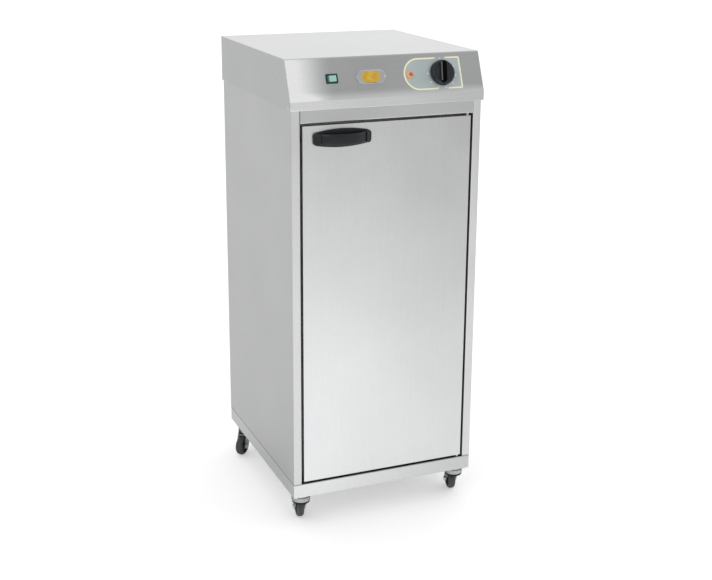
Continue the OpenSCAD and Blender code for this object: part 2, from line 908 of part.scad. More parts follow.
module door_skin() {
    color("gainsboro") difference() {
        translate([0, 0, door_z0]) linear_extrude(door_z1 - door_z0) union() {
            round_rect([-door_x, front_y], [door_x, front_y + door_t / 2], 2);
            translate([-door_x, front_y + door_t / 4]) square([2 * door_x, door_t * 3 / 4]);
        }
        span([door_sheet - door_x, front_y + door_sheet, door_z0 + door_sheet],
             [door_x - door_sheet, door_back + through, door_z1 - door_sheet]);
        bush_cut(0);
        handle_screw_cut(screw_r);
    }
}

module door_inner_panel() {
    color("lightgray")
        span([door_sheet - door_x, door_back - door_sheet, door_z0 + door_sheet],
             [door_x - door_sheet, door_back, door_z1 - door_sheet]);
}

module door_insulation() {
    color("khaki") difference() {
        span([door_sheet - door_x, front_y + door_sheet, door_z0 + door_sheet],
             [door_x - door_sheet, door_back - door_sheet, door_z1 - door_sheet]);
        bush_cut(rest_gap);
        handle_screw_cut(head_r + rest_gap);
    }
}

// Tubes pressed into the door's top and bottom edges
module door_bushes() {
    length = pin_in + 2 * rest_gap;
    color("white") for (z = [door_z0, door_z1 - length]) {
        translate([hinge_x, hinge_y, z]) difference() {
            cylinder(h = length, r = bush_r);
            translate([0, 0, -through]) cylinder(h = length + 2 * through, r = pin_r + fit_gap);
        }
    }
}

// ---------- handle ----------

handle_x = handle_edge + handle_l / 2 - door_x;
handle_z = door_z1 - handle_drop;
cap_w = 15;
cap_h = grip_h + 3;
cap_foot = 5;
cap_top = 14;
handle_plate_t = 3;
handle_screw_x = [handle_x - handle_l / 2 + cap_w / 2, handle_x + handle_l / 2 - cap_w / 2];

module handle_screw_cut(r) {
    for (x = handle_screw_x) {
        rod_y(x, front_y - through, front_y + door_sheet + head_h + rest_gap, handle_z, r);
    }
}

// Plate between two flat arcs, with square ends
module barrel(length, end_height, height) {
    rise = (height - end_height) / 2;
    r = (length * length / 4 + rise * rise) / (2 * rise);
    intersection() {
        translate([0, height / 2 - r]) circle(r, $fn = 360);
        translate([0, r - height / 2]) circle(r, $fn = 360);
        square([length, height], center = true);
    }
}

// Bow grip on a back plate, with a wedge-shaped cap at each end
module door_handle() {
    chord = handle_l - cap_w;
    rise = handle_out - handle_plate_t;
    bow_r = (chord * chord / 4 + rise * rise) / (2 * rise);
    color("#24272a") translate([handle_x, front_y, handle_z]) difference() {
        union() {
            rotate([90, 0, 0]) linear_extrude(handle_plate_t)
                barrel(handle_l - cap_w, handle_plate_end_h, handle_plate_h);
            translate([0, bow_r - handle_out, -grip_h / 2]) linear_extrude(grip_h) intersection() {
                difference() {
                    circle(bow_r, $fn = 180);
                    circle(bow_r - grip_t, $fn = 180);
                }
                translate([-chord / 2, -bow_r - through])
                    square([chord, handle_out - handle_plate_t / 2 + through]);
            }
            for (end = [0, 1]) {
                mirror([end, 0, 0]) translate([chord / 2, 0, -cap_h / 2]) linear_extrude(cap_h)
                    polygon([[-cap_w / 2, 0], [-cap_w / 2, -cap_top], [cap_w / 2, -cap_foot],
                             [cap_w / 2, 0]]);
            }
        }
        for (x = [-chord / 2, chord / 2]) {
            rod_y(x, -screw_l, through, 0, screw_r);
        }
    }
}

module handle_screws() {
    color("silver") for (x = handle_screw_x) {
        translate([x, front_y + door_sheet, handle_z]) rotate([-90, 0, 0]) screw();
    }
}

// ---------- casters ----------

plate_t = 2.5;
race_r = 20;
race_h = 6;
crown_r = 22;
crown_t = 2.5;
crown_z = -plate_t - race_h - rest_gap;
king_r = 4;
hub_w = tread_w + 3;
axle_r = 4;
leg_t = 2.3;
leg_x = hub_w / 2 + rest_gap;
axle_z = wheel_d / 2 - caster_h;
core_r = wheel_d / 2 - 6;
skirt_room = caster_h - wheel_d + crown_z;      // between the crown's top and the wheel
skirt_h = max(crown_t, 0.6 * skirt_room);       // height of the crown with the rim that hangs from it
bolt_pitch = plate_w - 13;

// Position of each swivel axis and how far its fork is turned
casters = [
    [-half_w + caster_side_in, front_y + caster_front_in, -12],
    [half_w - caster_side_in, front_y + caster_front_in, -12],
    [-half_w + caster_side_in, rear_y - caster_rear_in, 134],
    [half_w - caster_side_in, rear_y - caster_rear_in, -134]
];

// Places children at a swivel axis, at the height of the base's underside
module at_caster(i, turned) {
    translate([casters[i][0], casters[i][1], base_z])
        rotate([0, 0, turned ? casters[i][2] : 0]) children();
}

// Plate with its bearing race and the riveted kingpin
module caster_plates() {
    color("silver") for (i = [0 : 3]) {
        at_caster(i, false) {
            difference() {
                translate([0, 0, -plate_t]) linear_extrude(plate_t)
                    round_rect([-plate_w / 2, -plate_w / 2], [plate_w / 2, plate_w / 2], 4);
                at_bolts() cylinder(h = 4 * plate_t, r = 3, center = true);
            }
            translate([0, 0, -plate_t - race_h]) cylinder(h = race_h, r = race_r);
            translate([0, 0, crown_z - crown_t - rest_gap - 3]) {
                cylinder(h = 3, r = king_r + 3);
                cylinder(h = 3 + crown_t + 2 * rest_gap + through, r = king_r);
            }
        }
    }
}

module at_bolts() {
    for (x = [-bolt_pitch / 2, bolt_pitch / 2], y = [-bolt_pitch / 2, bolt_pitch / 2]) {
        translate([x, y, 0]) children();
    }
}

module caster_bolts() {
    color("silver") for (i = [0 : 3]) {
        at_caster(i, false) at_bolts() {
            translate([0, 0, -plate_t - 2.5]) cylinder(h = 2.5, r = 4.5, $fn = 6);
            translate([0, 0, -plate_t]) cylinder(h = plate_t, r = 3);
        }
    }
}

module fork_leg() {
    z0 = crown_z - crown_t / 2;
    rotate([90, 0, 90]) linear_extrude(leg_t) {
        polygon([[-15, z0], [21, z0], [trail + 8.5, axle_z], [trail - 8.5, axle_z]]);
        translate([trail, axle_z]) circle(8.5);
    }
}

module fork(i) {
    color("silver") at_caster(i, true) difference() {
        union() {
            translate([0, 0, crown_z - skirt_h]) difference() {
                cylinder(h = skirt_h, r = crown_r);
                translate([0, 0, -through])
                    cylinder(h = skirt_h - crown_t + through, r = crown_r - leg_t);
            }
            translate([leg_x, 0, 0]) fork_leg();
            translate([-leg_x - leg_t, 0, 0]) fork_leg();
        }
        translate([0, 0, crown_z - crown_t - through])
            cylinder(h = crown_t + 2 * through, r = king_r + fit_gap);
        rod_x(-leg_x - leg_t - through, leg_x + leg_t + through, trail, axle_z, axle_r);
    }
}

module axle(i) {
    x = leg_x + leg_t;
    color("silver") at_caster(i, true) {
        rod_x(-x, x, trail, axle_z, axle_r);
        for (end = [-x - 3, x]) {
            translate([end, trail, axle_z]) rotate([0, 90, 0]) cylinder(h = 3, r = 6.5, $fn = 6);
        }
    }
}

module core(i) {
    color("dimgray") at_caster(i, true) difference() {
        union() {
            rod_x(-tread_w / 2 + 1, tread_w / 2 - 1, trail, axle_z, core_r);
            rod_x(-hub_w / 2, hub_w / 2, trail, axle_z, axle_r + 4);
        }
        rod_x(-hub_w, hub_w, trail, axle_z, axle_r + fit_gap);
    }
}

// Tread with rounded shoulders
module tyre(i) {
    r = wheel_d / 2;
    half = tread_w / 2;
    shoulder = 0.75 * half;
    color("#4a4d4c") at_caster(i, true) translate([0, trail, axle_z]) rotate([0, 90, 0])
        rotate_extrude($fn = 96) polygon(concat(
            [[core_r, -half], [core_r, half]],
            [for (a = [90 : -15 : 0])
                [r - shoulder + shoulder * cos(a), half - shoulder + shoulder * sin(a)]],
            [for (a = [0 : -15 : -90])
                [r - shoulder + shoulder * cos(a), shoulder - half + shoulder * sin(a)]]
        ));
}

// ---------- assembly ----------

base_frame();
side_panel_left();
side_panel_right();
rear_panel();
front_header();
top_deck();
hood();
door_frame();
liner_sides();
liner_ends();
liner_back();
insulation();
door_seal();
shelf_uprights();
shelf_clips();
shelf_lower();
shelf_upper();
heating_element();
heater_guard();
thermostat();
thermostat_bulb();
switch_housing();
lamp_body();
lamp_lens();
dial_plate();
badge_plate();
magnet_catch();
terminal_block();
wiring();
cable_gland();
hinge_brackets();
panel_screws();
caster_plates();
caster_bolts();
door_skin();
door_inner_panel();
door_insulation();
door_handle();
handle_screws();
door_bushes();
strike_plate();
thermostat_knob();
thermostat_shaft();
rocker();
fork(0);  // fork_front_left
fork(1);  // fork_front_right
fork(2);  // fork_rear_left
fork(3);  // fork_rear_right
axle(0);  // axle_front_left
axle(1);  // axle_front_right
axle(2);  // axle_rear_left
axle(3);  // axle_rear_right
core(0);  // core_front_left
core(1);  // core_front_right
core(2);  // core_rear_left
core(3);  // core_rear_right
tyre(0);  // tyre_front_left
tyre(1);  // tyre_front_right
tyre(2);  // tyre_rear_left
tyre(3);  // tyre_rear_right
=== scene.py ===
"""Looks of the plate warmer cabinet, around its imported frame. Metres, +Z up, front towards -Y."""

import json
import math

import bmesh
import bpy
from mathutils import Matrix, Vector


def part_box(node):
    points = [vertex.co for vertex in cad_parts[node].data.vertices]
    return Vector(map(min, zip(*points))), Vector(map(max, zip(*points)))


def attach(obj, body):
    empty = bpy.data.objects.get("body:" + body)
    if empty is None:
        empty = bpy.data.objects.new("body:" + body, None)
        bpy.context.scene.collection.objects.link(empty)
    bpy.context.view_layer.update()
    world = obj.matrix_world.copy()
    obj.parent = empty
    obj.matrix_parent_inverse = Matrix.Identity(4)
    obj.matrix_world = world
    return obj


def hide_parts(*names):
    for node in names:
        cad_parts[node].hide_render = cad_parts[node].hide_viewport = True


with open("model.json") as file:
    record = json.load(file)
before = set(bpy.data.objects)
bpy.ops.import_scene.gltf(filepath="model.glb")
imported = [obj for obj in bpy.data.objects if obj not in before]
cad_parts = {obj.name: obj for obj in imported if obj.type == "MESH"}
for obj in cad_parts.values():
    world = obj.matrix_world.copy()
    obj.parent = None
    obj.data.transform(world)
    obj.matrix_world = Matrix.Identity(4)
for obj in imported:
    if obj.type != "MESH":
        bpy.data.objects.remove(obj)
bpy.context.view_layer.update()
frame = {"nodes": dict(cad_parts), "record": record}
NODES = frame["nodes"]
BODY_OF = {}
for body_name, members in frame["record"]["behaviour"]["bodies"].items():
    for member in members:
        BODY_OF[member] = body_name
CORNERS = ("front_left", "front_right", "rear_left", "rear_right")
MM = 0.001

# Camera of the photograph: focal length and optical centre in pixels of its 712 x 580 frame
PHOTO_W = 712
PHOTO_H = 580
FOCAL_PX = 1250.66
CENTRE_PX = (356, 250)
CAMERA_AT = (-1.0961, -2.6972, 1.4207)
CAMERA_YAW = 22.543
CAMERA_PITCH = 16.056
CAMERA_ROLL = -0.404


# ---------- mesh helpers ----------


def new_object(name, mesh):
    """Links a mesh as an object of its own at the origin."""
    obj = bpy.data.objects.new(name, mesh)
    bpy.context.scene.collection.objects.link(obj)
    return obj


def from_bmesh(name, bm, smooth_angle=40):
    """Turns a bmesh into an object with outward normals, smooth up to the given angle."""
    bmesh.ops.remove_doubles(bm, verts=bm.verts, dist=1e-7)
    bmesh.ops.recalc_face_normals(bm, faces=bm.faces)
    mesh = bpy.data.meshes.new(name)
    bm.to_mesh(mesh)
    bm.free()
    smooth(mesh, smooth_angle)
    return new_object(name, mesh)


def smooth(mesh, angle):
    """Shades a mesh smooth, with sharp edges above the angle in degrees."""
    mesh.polygons.foreach_set("use_smooth", [True] * len(mesh.polygons))
    mesh.set_sharp_from_angle(angle=math.radians(angle))


def even_normals(mesh, angle):
    """Lets the flat faces set the shading, so that only the rounded edges between them turn."""
    faces_at = [[] for _ in mesh.vertices]
    for face in mesh.polygons:
        for vertex in face.vertices:
            faces_at[vertex].append(face)
    near = math.cos(math.radians(angle))
    normals = []
    for face in mesh.polygons:
        for vertex in face.vertices:
            total = Vector()
            for other in faces_at[vertex]:
                if other.normal.dot(face.normal) > near:
                    total += other.normal * other.area
            normals.append(total.normalized() if total.length > 0 else face.normal)
    mesh.normals_split_custom_set(normals)


def bake_modifiers(obj, smooth_angle=40):
    """Replaces an object's mesh by the result of its modifiers."""
    graph = bpy.context.evaluated_depsgraph_get()
    graph.update()
    done = bpy.data.meshes.new_from_object(obj.evaluated_get(graph))
    obj.modifiers.clear()
    obj.data = done
    smooth(done, smooth_angle)


def dress(obj, node, finish, replaces=True):
    """Gives a piece its finish, and the body of the CAD node that it belongs to.

    Unless it only adds to the node, the piece stands in for it.
    """
    obj.data.materials.clear()
    obj.data.materials.append(FINISH[finish])
    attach(obj, BODY_OF[node])
    if replaces:
        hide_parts(node)


def merged_copy(node):
    """Bmesh of a CAD node with its triangles welded and its flat faces joined."""
    bm = bmesh.new()
    bm.from_mesh(NODES[node].data)
    bmesh.ops.remove_doubles(bm, verts=bm.verts, dist=2e-6)
    bmesh.ops.dissolve_degenerate(bm, edges=bm.edges, dist=1e-6)
    bmesh.ops.dissolve_limit(
        bm,
        angle_limit=math.radians(0.4),
        use_dissolve_boundaries=False,
        verts=bm.verts,
        edges=bm.edges,
    )
    return bm


def softened(node, name, width, edge_test, segments=3, angle=25):
    """Copy of a CAD node with its chosen sharp edges rounded.

    edge_test gets both ends of an edge and says whether that edge is rounded.
    """
    bm = merged_copy(node)
    weight = bm.edges.layers.float.new("bevel_weight_edge")
    for face in bm.faces:
        face.smooth = True
    for edge in bm.edges:
        bend = edge.calc_face_angle(0) if len(edge.link_faces) == 2 else math.pi
        chosen = bend > math.radians(angle) and edge_test(edge.verts[0].co, edge.verts[1].co)
        edge[weight] = 1.0 if chosen else 0.0
        edge.smooth = chosen or bend < math.radians(angle)
    mesh = bpy.data.meshes.new(name)
    bm.to_mesh(mesh)
    bm.free()
    obj = new_object(name, mesh)
    bevel = obj.modifiers.new("round", "BEVEL")
    bevel.limit_method = "WEIGHT"
    bevel.width = width
    bevel.segments = segments
    bake_modifiers(obj, 50)
    even_normals(obj.data, 50)
    return obj


def box_corners(node):
    lo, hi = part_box(node)
    return Vector(lo), Vector(hi)


# ---------- node helpers ----------


class Tree:
    """Short way to add and link nodes in a shader or geometry tree."""

    def __init__(self, tree):
        self.tree = tree

    def set(self, socket, value):
        if isinstance(value, bpy.types.NodeSocket):
            self.tree.links.new(value, socket)
        else:
            socket.default_value = value

    def add(self, kind, inputs=None, **settings):
        node = self.tree.nodes.new(kind)
        for key, value in settings.items():
            setattr(node, key, value)
        for key, value in (inputs or {}).items():
            self.set(node.inputs[key], value)
        return node

    def math(self, operation, a, b=0.0, clamp=False):
        node = self.add("ShaderNodeMath", {0: a, 1: b}, operation=operation, use_clamp=clamp)
        return node.outputs[0]

    def vector(self, operation, a, b=(0.0, 0.0, 0.0)):
        node = self.add("ShaderNodeVectorMath", {0: a, 1: b}, operation=operation)
        return node.outputs["Value" if operation in ("DOT_PRODUCT", "LENGTH") else "Vector"]

    def noise(self, vector, scale, detail, roughness=0.5):
        given = {"Vector": vector, "Scale": scale, "Detail": detail, "Roughness": roughness}
        return self.add("ShaderNodeTexNoise", given).outputs["Fac"]

    def spread(self, value, from_lo, from_hi, to_lo, to_hi, smooth_step=False):
        node = self.add(
            "ShaderNodeMapRange",
            {
                "Value": value,
                "From Min": from_lo,
                "From Max": from_hi,
                "To Min": to_lo,
                "To Max": to_hi,
            },
            interpolation_type="SMOOTHSTEP" if smooth_step else "LINEAR",
        )
        return node.outputs["Result"]

    def split(self, vector):
        return self.add("ShaderNodeSeparateXYZ", {"Vector": vector}).outputs

    def xyz(self, x=0.0, y=0.0, z=0.0):
        return self.add("ShaderNodeCombineXYZ", {"X": x, "Y": y, "Z": z}).outputs[0]

    def mix(self, factor, a, b, blend="MIX"):
        node = self.add("ShaderNodeMix", data_type="RGBA", blend_type=blend)
        self.set(node.inputs["Factor"], factor)
        self.set(node.inputs["A"], a)
        self.set(node.inputs["B"], b)
        return node.outputs["Result"]

    def joined(self, *parts):
        join = self.add("GeometryNodeJoinGeometry")
        for part in parts:
            self.tree.links.new(part, join.inputs[0])
        return join.outputs[0]

    def blend_levels(self, factor, a, b):
        node = self.add("ShaderNodeMix", {"Factor": factor}, data_type="FLOAT")
        self.set(node.inputs["A"], a)
        self.set(node.inputs["B"], b)
        return node.outputs["Result"]


def new_sockets(tree, way, sockets):
    """Gives a node group named sockets: (name, kind) or, with a value to start from, three."""
    for name, kind, *value in sockets:
        socket = tree.interface.new_socket(name, in_out=way, socket_type="NodeSocket" + kind)
        if value:
            socket.default_value = value[0]


def shader_group(name, inputs, outputs):
    """Empty shader node group with named sockets; returns its Tree, inputs and outputs."""
    tree = bpy.data.node_groups.new(name, "ShaderNodeTree")
    new_sockets(tree, "INPUT", inputs)
    new_sockets(tree, "OUTPUT", [(output, "Float") for output in outputs])
    n = Tree(tree)
    return n, n.add("NodeGroupInput").outputs, n.add("NodeGroupOutput").inputs


def make_sheet_grain():
    """Satin grain of stainless sheet: fine streaks, a speckle and slow clouds."""
    n, given, out = shader_group(
        "sheet_grain",
        [
            ("Vector", "Vector", (0, 0, 0)),
            ("Streak Scale", "Vector", (900, 900, 14)),
            ("Cloud Scale", "Float", 5.0),
            ("Speckle Scale", "Float", 700.0),
        ],
        ["Streak", "Speckle", "Cloud"],
    )
    stretched = n.vector("MULTIPLY", given["Vector"], given["Streak Scale"])
    n.set(out["Streak"], n.noise(stretched, 1.0, detail=4.0, roughness=0.7))
    speckle = n.noise(given["Vector"], given["Speckle Scale"], detail=2.0, roughness=0.6)
    n.set(out["Speckle"], speckle)
    n.set(out["Cloud"], n.noise(given["Vector"], given["Cloud Scale"], detail=3.0, roughness=0.45))
    return n.tree


def make_moulded_skin():
    """Fine spark-eroded grain of moulded plastic, with a slow sheen change."""
    n, given, out = shader_group(
        "moulded_skin",
        [("Vector", "Vector", (0, 0, 0)), ("Grain Scale", "Float", 2500.0)],
        ["Grain", "Sheen Change"],
    )
    n.set(out["Grain"], n.noise(given["Vector"], given["Grain Scale"], detail=2.0, roughness=0.6))
    n.set(out["Sheen Change"], n.noise(given["Vector"], 60.0, detail=2.0))
    return n.tree


def make_floor_dust():
    """Mask of dust that gathers on what lies low, in patches."""
    n, given, out = shader_group(
        "floor_dust",
        [("Vector", "Vector", (0, 0, 0)), ("Top", "Float", 0.06), ("Amount", "Float", 0.5)],
        ["Dust"],
    )
    low = n.spread(n.split(given["Vector"])["Z"], 0.0, given["Top"], 1.0, 0.0)
    patches = n.noise(given["Vector"], 90.0, detail=4.0, roughness=0.65)
    lying = n.math("MULTIPLY", low, patches)
    n.set(out["Dust"], n.math("MULTIPLY", lying, given["Amount"], clamp=True))
    return n.tree


def make_painted_light_band():
    """Slow change of painted light from one place to another: painted reflections on sheets, painted
    shade on the rocker.
    """
    n, given, out = shader_group(
        "painted_light_band",
        [
            ("Along", "Float", 0.0),
            ("Start", "Float", 0.0),
            ("End", "Float", 1.0),
            ("First", "Float", 1.0),
            ("Last", "Float", 1.0),
        ],
        ["Level"],
    )
    ends = [given[name] for name in ("Start", "End", "First", "Last")]
    n.set(out["Level"], n.spread(given["Along"], *ends, smooth_step=True))
    return n.tree


def make_joint_line():
    """Dark line along a level joint between two sheets."""
    n, given, out = shader_group(
        "joint_line",
        [
            ("Height", "Float", 0.0),
            ("Joint", "Float", 0.0),
            ("Half Width", "Float", 0.003),
            ("Depth", "Float", 0.5),
        ],
        ["Level"],
    )
    away = n.math("ABSOLUTE", n.math("SUBTRACT", given["Height"], given["Joint"]))
    line = n.spread(away, 0.4 * MM, given["Half Width"], given["Depth"], 1.0, smooth_step=True)
    n.set(out["Level"], line)
    return n.tree


SHEET_GRAIN = make_sheet_grain()
MOULDED_SKIN = make_moulded_skin()
FLOOR_DUST = make_floor_dust()
PAINTED_LIGHT_BAND = make_painted_light_band()
JOINT_LINE = make_joint_line()


def new_material(name):
    """Material with a plain Principled BSDF; returns it, its Tree, shader and coordinates."""
    material = bpy.data.materials.new(name)
    material.use_nodes = True
    nodes = Tree(material.node_tree)
    shader = material.node_tree.nodes["Principled BSDF"]
    coords = nodes.add("ShaderNodeTexCoord").outputs["Object"]
    return material, nodes, shader, coords


def group_outputs(nodes, tree, inputs):
    return nodes.add("ShaderNodeGroup", inputs, node_tree=tree).outputs


def bump(nodes, height, strength, distance):
    return nodes.add(
        "ShaderNodeBump", {"Height": height, "Strength": strength, "Distance": distance}
    ).outputs["Normal"]


def grey(value, warmth):
    return (value + warmth, value, value - warmth, 1.0)


# ---------- materials ----------


def stainless(name, tone, rough, streak, contrast, painted_light_band=None):
    """Satin stainless sheet. streak is the grain's scale along X, Y and Z, in cycles a metre."""
    material, n, shader, coords = new_material(name)
    grain = group_outputs(n, SHEET_GRAIN, {"Vector": coords, "Streak Scale": streak})
    light = grey(tone * (1 + contrast), -0.004)
    dark = grey(tone * (1 - contrast), -0.004)
    streaks = n.spread(grain["Streak"], 0.3, 0.7, 0.0, 1.0)
    color = n.mix(streaks, dark, light)
    speckle = n.spread(grain["Speckle"], 0.25, 0.75, 0.94, 1.06)
    cloud = n.spread(grain["Cloud"], 0.3, 0.7, 0.96, 1.04)
    level = n.math("MULTIPLY", speckle, cloud)
    # painted light: the band multiplies the tone, painting in reflections, and on some sheets a dark
    # joint line
    if painted_light_band:
        level = n.math("MULTIPLY", level, painted_light_band(n, coords))
    gain = n.add("ShaderNodeCombineColor", {"Red": level, "Green": level, "Blue": level}).outputs[0]
    n.set(shader.inputs["Base Color"], n.mix(1.0, color, gain, "MULTIPLY"))
    rough_streak = n.spread(grain["Streak"], 0.3, 0.7, rough - 0.05, rough + 0.05)
    rough_cloud = n.spread(grain["Cloud"], 0.35, 0.65, -0.03, 0.03)
    n.set(shader.inputs["Roughness"], n.math("ADD", rough_streak, rough_cloud))
    shader.inputs["Metallic"].default_value = 1.0
    n.set(shader.inputs["Normal"], bump(n, grain["Streak"], 0.06, 0.0002))
    return material


def plated(name, tone, rough, spangle=0.08):
    """Bright zinc or nickel plate with a faint patchy lustre."""
    material, n, shader, coords = new_material(name)
    grain = group_outputs(
        n, SHEET_GRAIN, {"Vector": coords, "Streak Scale": (160, 160, 160), "Cloud Scale": 60.0}
    )
    dust = group_outputs(n, FLOOR_DUST, {"Vector": coords, "Top": 0.07, "Amount": 0.35})["Dust"]
    dark = (tone * 0.86, tone * 0.9, tone * 0.93, 1.0)
    light = (tone * 1.02, tone * 1.03, tone * 1.02, 1.0)
    lustre = n.spread(grain["Cloud"], 0.35, 0.65, 0.5 - spangle * 5, 0.5 + spangle * 5)
    color = n.mix(lustre, dark, light)
    n.set(shader.inputs["Base Color"], n.mix(dust, color, (0.3, 0.29, 0.27, 1.0)))
    dull = n.spread(grain["Streak"], 0.3, 0.7, rough - 0.06, rough + 0.08)
    n.set(shader.inputs["Roughness"], dull)
    n.set(shader.inputs["Metallic"], n.math("SUBTRACT", 1.0, dust))
    n.set(shader.inputs["Normal"], bump(n, grain["Speckle"], 0.08, 0.0002))
    return material


def moulded(name, color, rough, grain_scale=2500.0, strength=0.12, variation=0.2, gloss=0.5):
    """Moulded plastic or rubber with a fine grain."""
    material, n, shader, coords = new_material(name)
    shader.inputs["Specular IOR Level"].default_value = gloss
    skin = group_outputs(n, MOULDED_SKIN, {"Vector": coords, "Grain Scale": grain_scale})
    low = tuple(c * (1 - variation) for c in color) + (1.0,)
    high = tuple(min(1.0, c * (1 + variation)) for c in color) + (1.0,)
    change = skin["Sheen Change"]
    n.set(shader.inputs["Base Color"], n.mix(change, low, high))
    n.set(shader.inputs["Roughness"], n.spread(change, 0.3, 0.7, rough - 0.06, rough + 0.06))
    n.set(shader.inputs["Normal"], bump(n, skin["Grain"], strength, 0.0002))
    return material


def sheen(n, place, start, end, first, last):
    """Level of painted light that changes smoothly from first to last between two places."""
    given = {"Along": place, "Start": start, "End": end, "First": first, "Last": last}
    return group_outputs(n, PAINTED_LIGHT_BAND, given)["Level"]


def band(axis, start, end, first, last):
    """Painted reflection that changes along an axis of the sheet; used as a stainless
    painted_light_band.
    """

    def build(n, coords):
        return sheen(n, n.split(coords)[axis], start, end, first, last)

    return build


POST_FRONT = (-0.2388, -0.232)  # from the posts' front to where their sides start, along Y
FASCIA_END = (34.5 * MM, 36 * MM)  # behind the lip, where the hood's flat top starts
FASCIA_LEFT = 105 * MM  # how far the painted reflection at the fascia's left end reaches
FASCIA_FOOT = 20 * MM  # how far up the painted reflection along the fascia's foot reaches


def painted_post_reflection(low, high):
    """Painted reflection on the front posts, from their feet to their tops; the sides stay as they
    are.
    """

    def build(n, coords):
        parts = n.split(coords)
        level = sheen(n, parts["Z"], 0.15, 0.85, low, high)
        front = sheen(n, parts["Y"], *POST_FRONT, 1.0, 0.0)
        return n.blend_levels(front, 1.0, level)

    return build


def seam_at(height, half_width, depth):
    """Dark line along the joint at a height; its half width is in millimetres."""

    def build(n, coords):
        given = {"Height": n.split(coords)["Z"], "Joint": height, "Depth": depth}
        return group_outputs(n, JOINT_LINE, given | {"Half Width": half_width * MM})["Level"]

    return build


def bands(*parts):
    """Several bands of painted reflection, and dark joint lines, over each other."""

    def build(n, coords):
        level = parts[0](n, coords)
        for part in parts[1:]:
            level = n.math("MULTIPLY", level, part(n, coords))
        return level

    return build


def painted_fascia_reflection(left, middle, foot, lip_left, lip_right):
    """Painted reflection on the hood's front.

    Its fascia is painted bright at the left end and along its foot, and its lip's painted reflection
    fades to the right.
    """

    def build(n, coords):
        parts = n.split(coords)
        ends = [HOOD_LO.y + depth for depth in FASCIA_END]
        in_front = n.spread(parts["Y"], *ends, 1.0, 0.0)
        out = n.math("ABSOLUTE", parts["X"])
        inside = n.spread(out, HOOD_HI.x - 1.5 * MM, HOOD_HI.x - 0.3 * MM, 1.0, 0.0)
        across = sheen(n, parts["X"], HOOD_LO.x, HOOD_LO.x + FASCIA_LEFT, left, middle)
        low = sheen(n, parts["Z"], FOLD_Z, FOLD_Z + FASCIA_FOOT, foot, 1.0)
        lip = n.spread(parts["X"], HOOD_LO.x, HOOD_HI.x, lip_left, lip_right)
        above = n.spread(parts["Z"], FOLD_Z - 0.5 * MM, FOLD_Z + 1.5 * MM, 0.0, 1.0)
        front = n.blend_levels(above, lip, n.math("MULTIPLY", across, low))
        return n.blend_levels(n.math("MULTIPLY", in_front, inside), 1.0, front)

    return build


def lens_plastic(name, color, dark, shade_of):
    """Glossy see-through plastic of one colour, dark where the mask shade_of(n, coords) is high."""
    material, n, shader, coords = new_material(name)
    skin = group_outputs(n, MOULDED_SKIN, {"Vector": coords, "Grain Scale": 900.0})
    bright, deep = (tuple(c * k for c in color) + (1.0,) for k in (1.08, 0.88))
    body = n.mix(skin["Sheen Change"], deep, bright)
    tone = n.mix(shade_of(n, coords), body, dark + (1.0,))
    n.set(shader.inputs["Base Color"], tone)
    shader.inputs["Roughness"].default_value = 0.16
    shader.inputs["Coat Weight"].default_value = 0.8
    # painted glow: the plastic gives out a faint light of its own colour
    n.set(shader.inputs["Emission Color"], tone)
    shader.inputs["Emission Strength"].default_value = 0.12
    n.set(shader.inputs["Normal"], bump(n, skin["Grain"], 0.1, 0.0002))
    return material


def heart_mask(centre, radius):
    """Darker heart of a lens, round a point in its dome."""

    def build(n, coords):
        away = n.vector("LENGTH", n.vector("SUBTRACT", coords, centre))
        return n.spread(away, radius * 0.6, radius * 1.25, 0.9, 0.0, smooth_step=True)

    return build


def painted_rocker_shade(start, end):
    """Painted shade on the pressed-in end of a rocker, from its start towards its end along X."""

    def build(n, coords):
        return sheen(n, n.split(coords)["X"], start, end, 1.0, 0.0)

    return build


def enamel(name, color, edge, cloud_scale=30.0):
    """Printed or enamelled metal with slight tone changes."""
    material, n, shader, coords = new_material(name)
    scales = {"Streak Scale": (900, 60, 60), "Cloud Scale": cloud_scale}
    grain = group_outputs(n, SHEET_GRAIN, {"Vector": coords} | scales)
    cloud = n.spread(grain["Cloud"], 0.3, 0.7, 0.0, 1.0)
    n.set(shader.inputs["Base Color"], n.mix(cloud, color + (1.0,), edge + (1.0,)))
    n.set(shader.inputs["Roughness"], n.spread(grain["Streak"], 0.3, 0.7, 0.28, 0.42))
    shader.inputs["Metallic"].default_value = 0.35
    n.set(shader.inputs["Normal"], bump(n, grain["Speckle"], 0.05, 0.0002))
    return material


def oxidised(name):
    """Heater tube gone dark with heat, bluish in places."""
    material, n, shader, coords = new_material(name)
    grain = group_outputs(
        n, SHEET_GRAIN, {"Vector": coords, "Streak Scale": (300, 40, 300), "Cloud Scale": 14.0}
    )
    color = n.mix(grain["Cloud"], (0.09, 0.085, 0.085, 1.0), (0.2, 0.17, 0.15, 1.0))
    n.set(shader.inputs["Base Color"], color)
    n.set(shader.inputs["Roughness"], n.spread(grain["Streak"], 0.3, 0.7, 0.4, 0.6))
    shader.inputs["Metallic"].default_value = 0.7
    n.set(shader.inputs["Normal"], bump(n, grain["Speckle"], 0.15, 0.0003))
    return material


def mineral_wool(name):
    material, n, shader, coords = new_material(name)
    fibre = n.noise(coords, 900.0, detail=6.0, roughness=0.75)
    tuft = n.noise(coords, 60.0, detail=3.0)
    color = n.mix(tuft, (0.62, 0.54, 0.3, 1.0), (0.78, 0.7, 0.44, 1.0))
    n.set(shader.inputs["Base Color"], n.mix(fibre, color, (0.86, 0.8, 0.6, 1.0)))
    shader.inputs["Roughness"].default_value = 0.95
    n.set(shader.inputs["Normal"], bump(n, n.math("ADD", fibre, tuft), 0.6, 0.002))
    return material


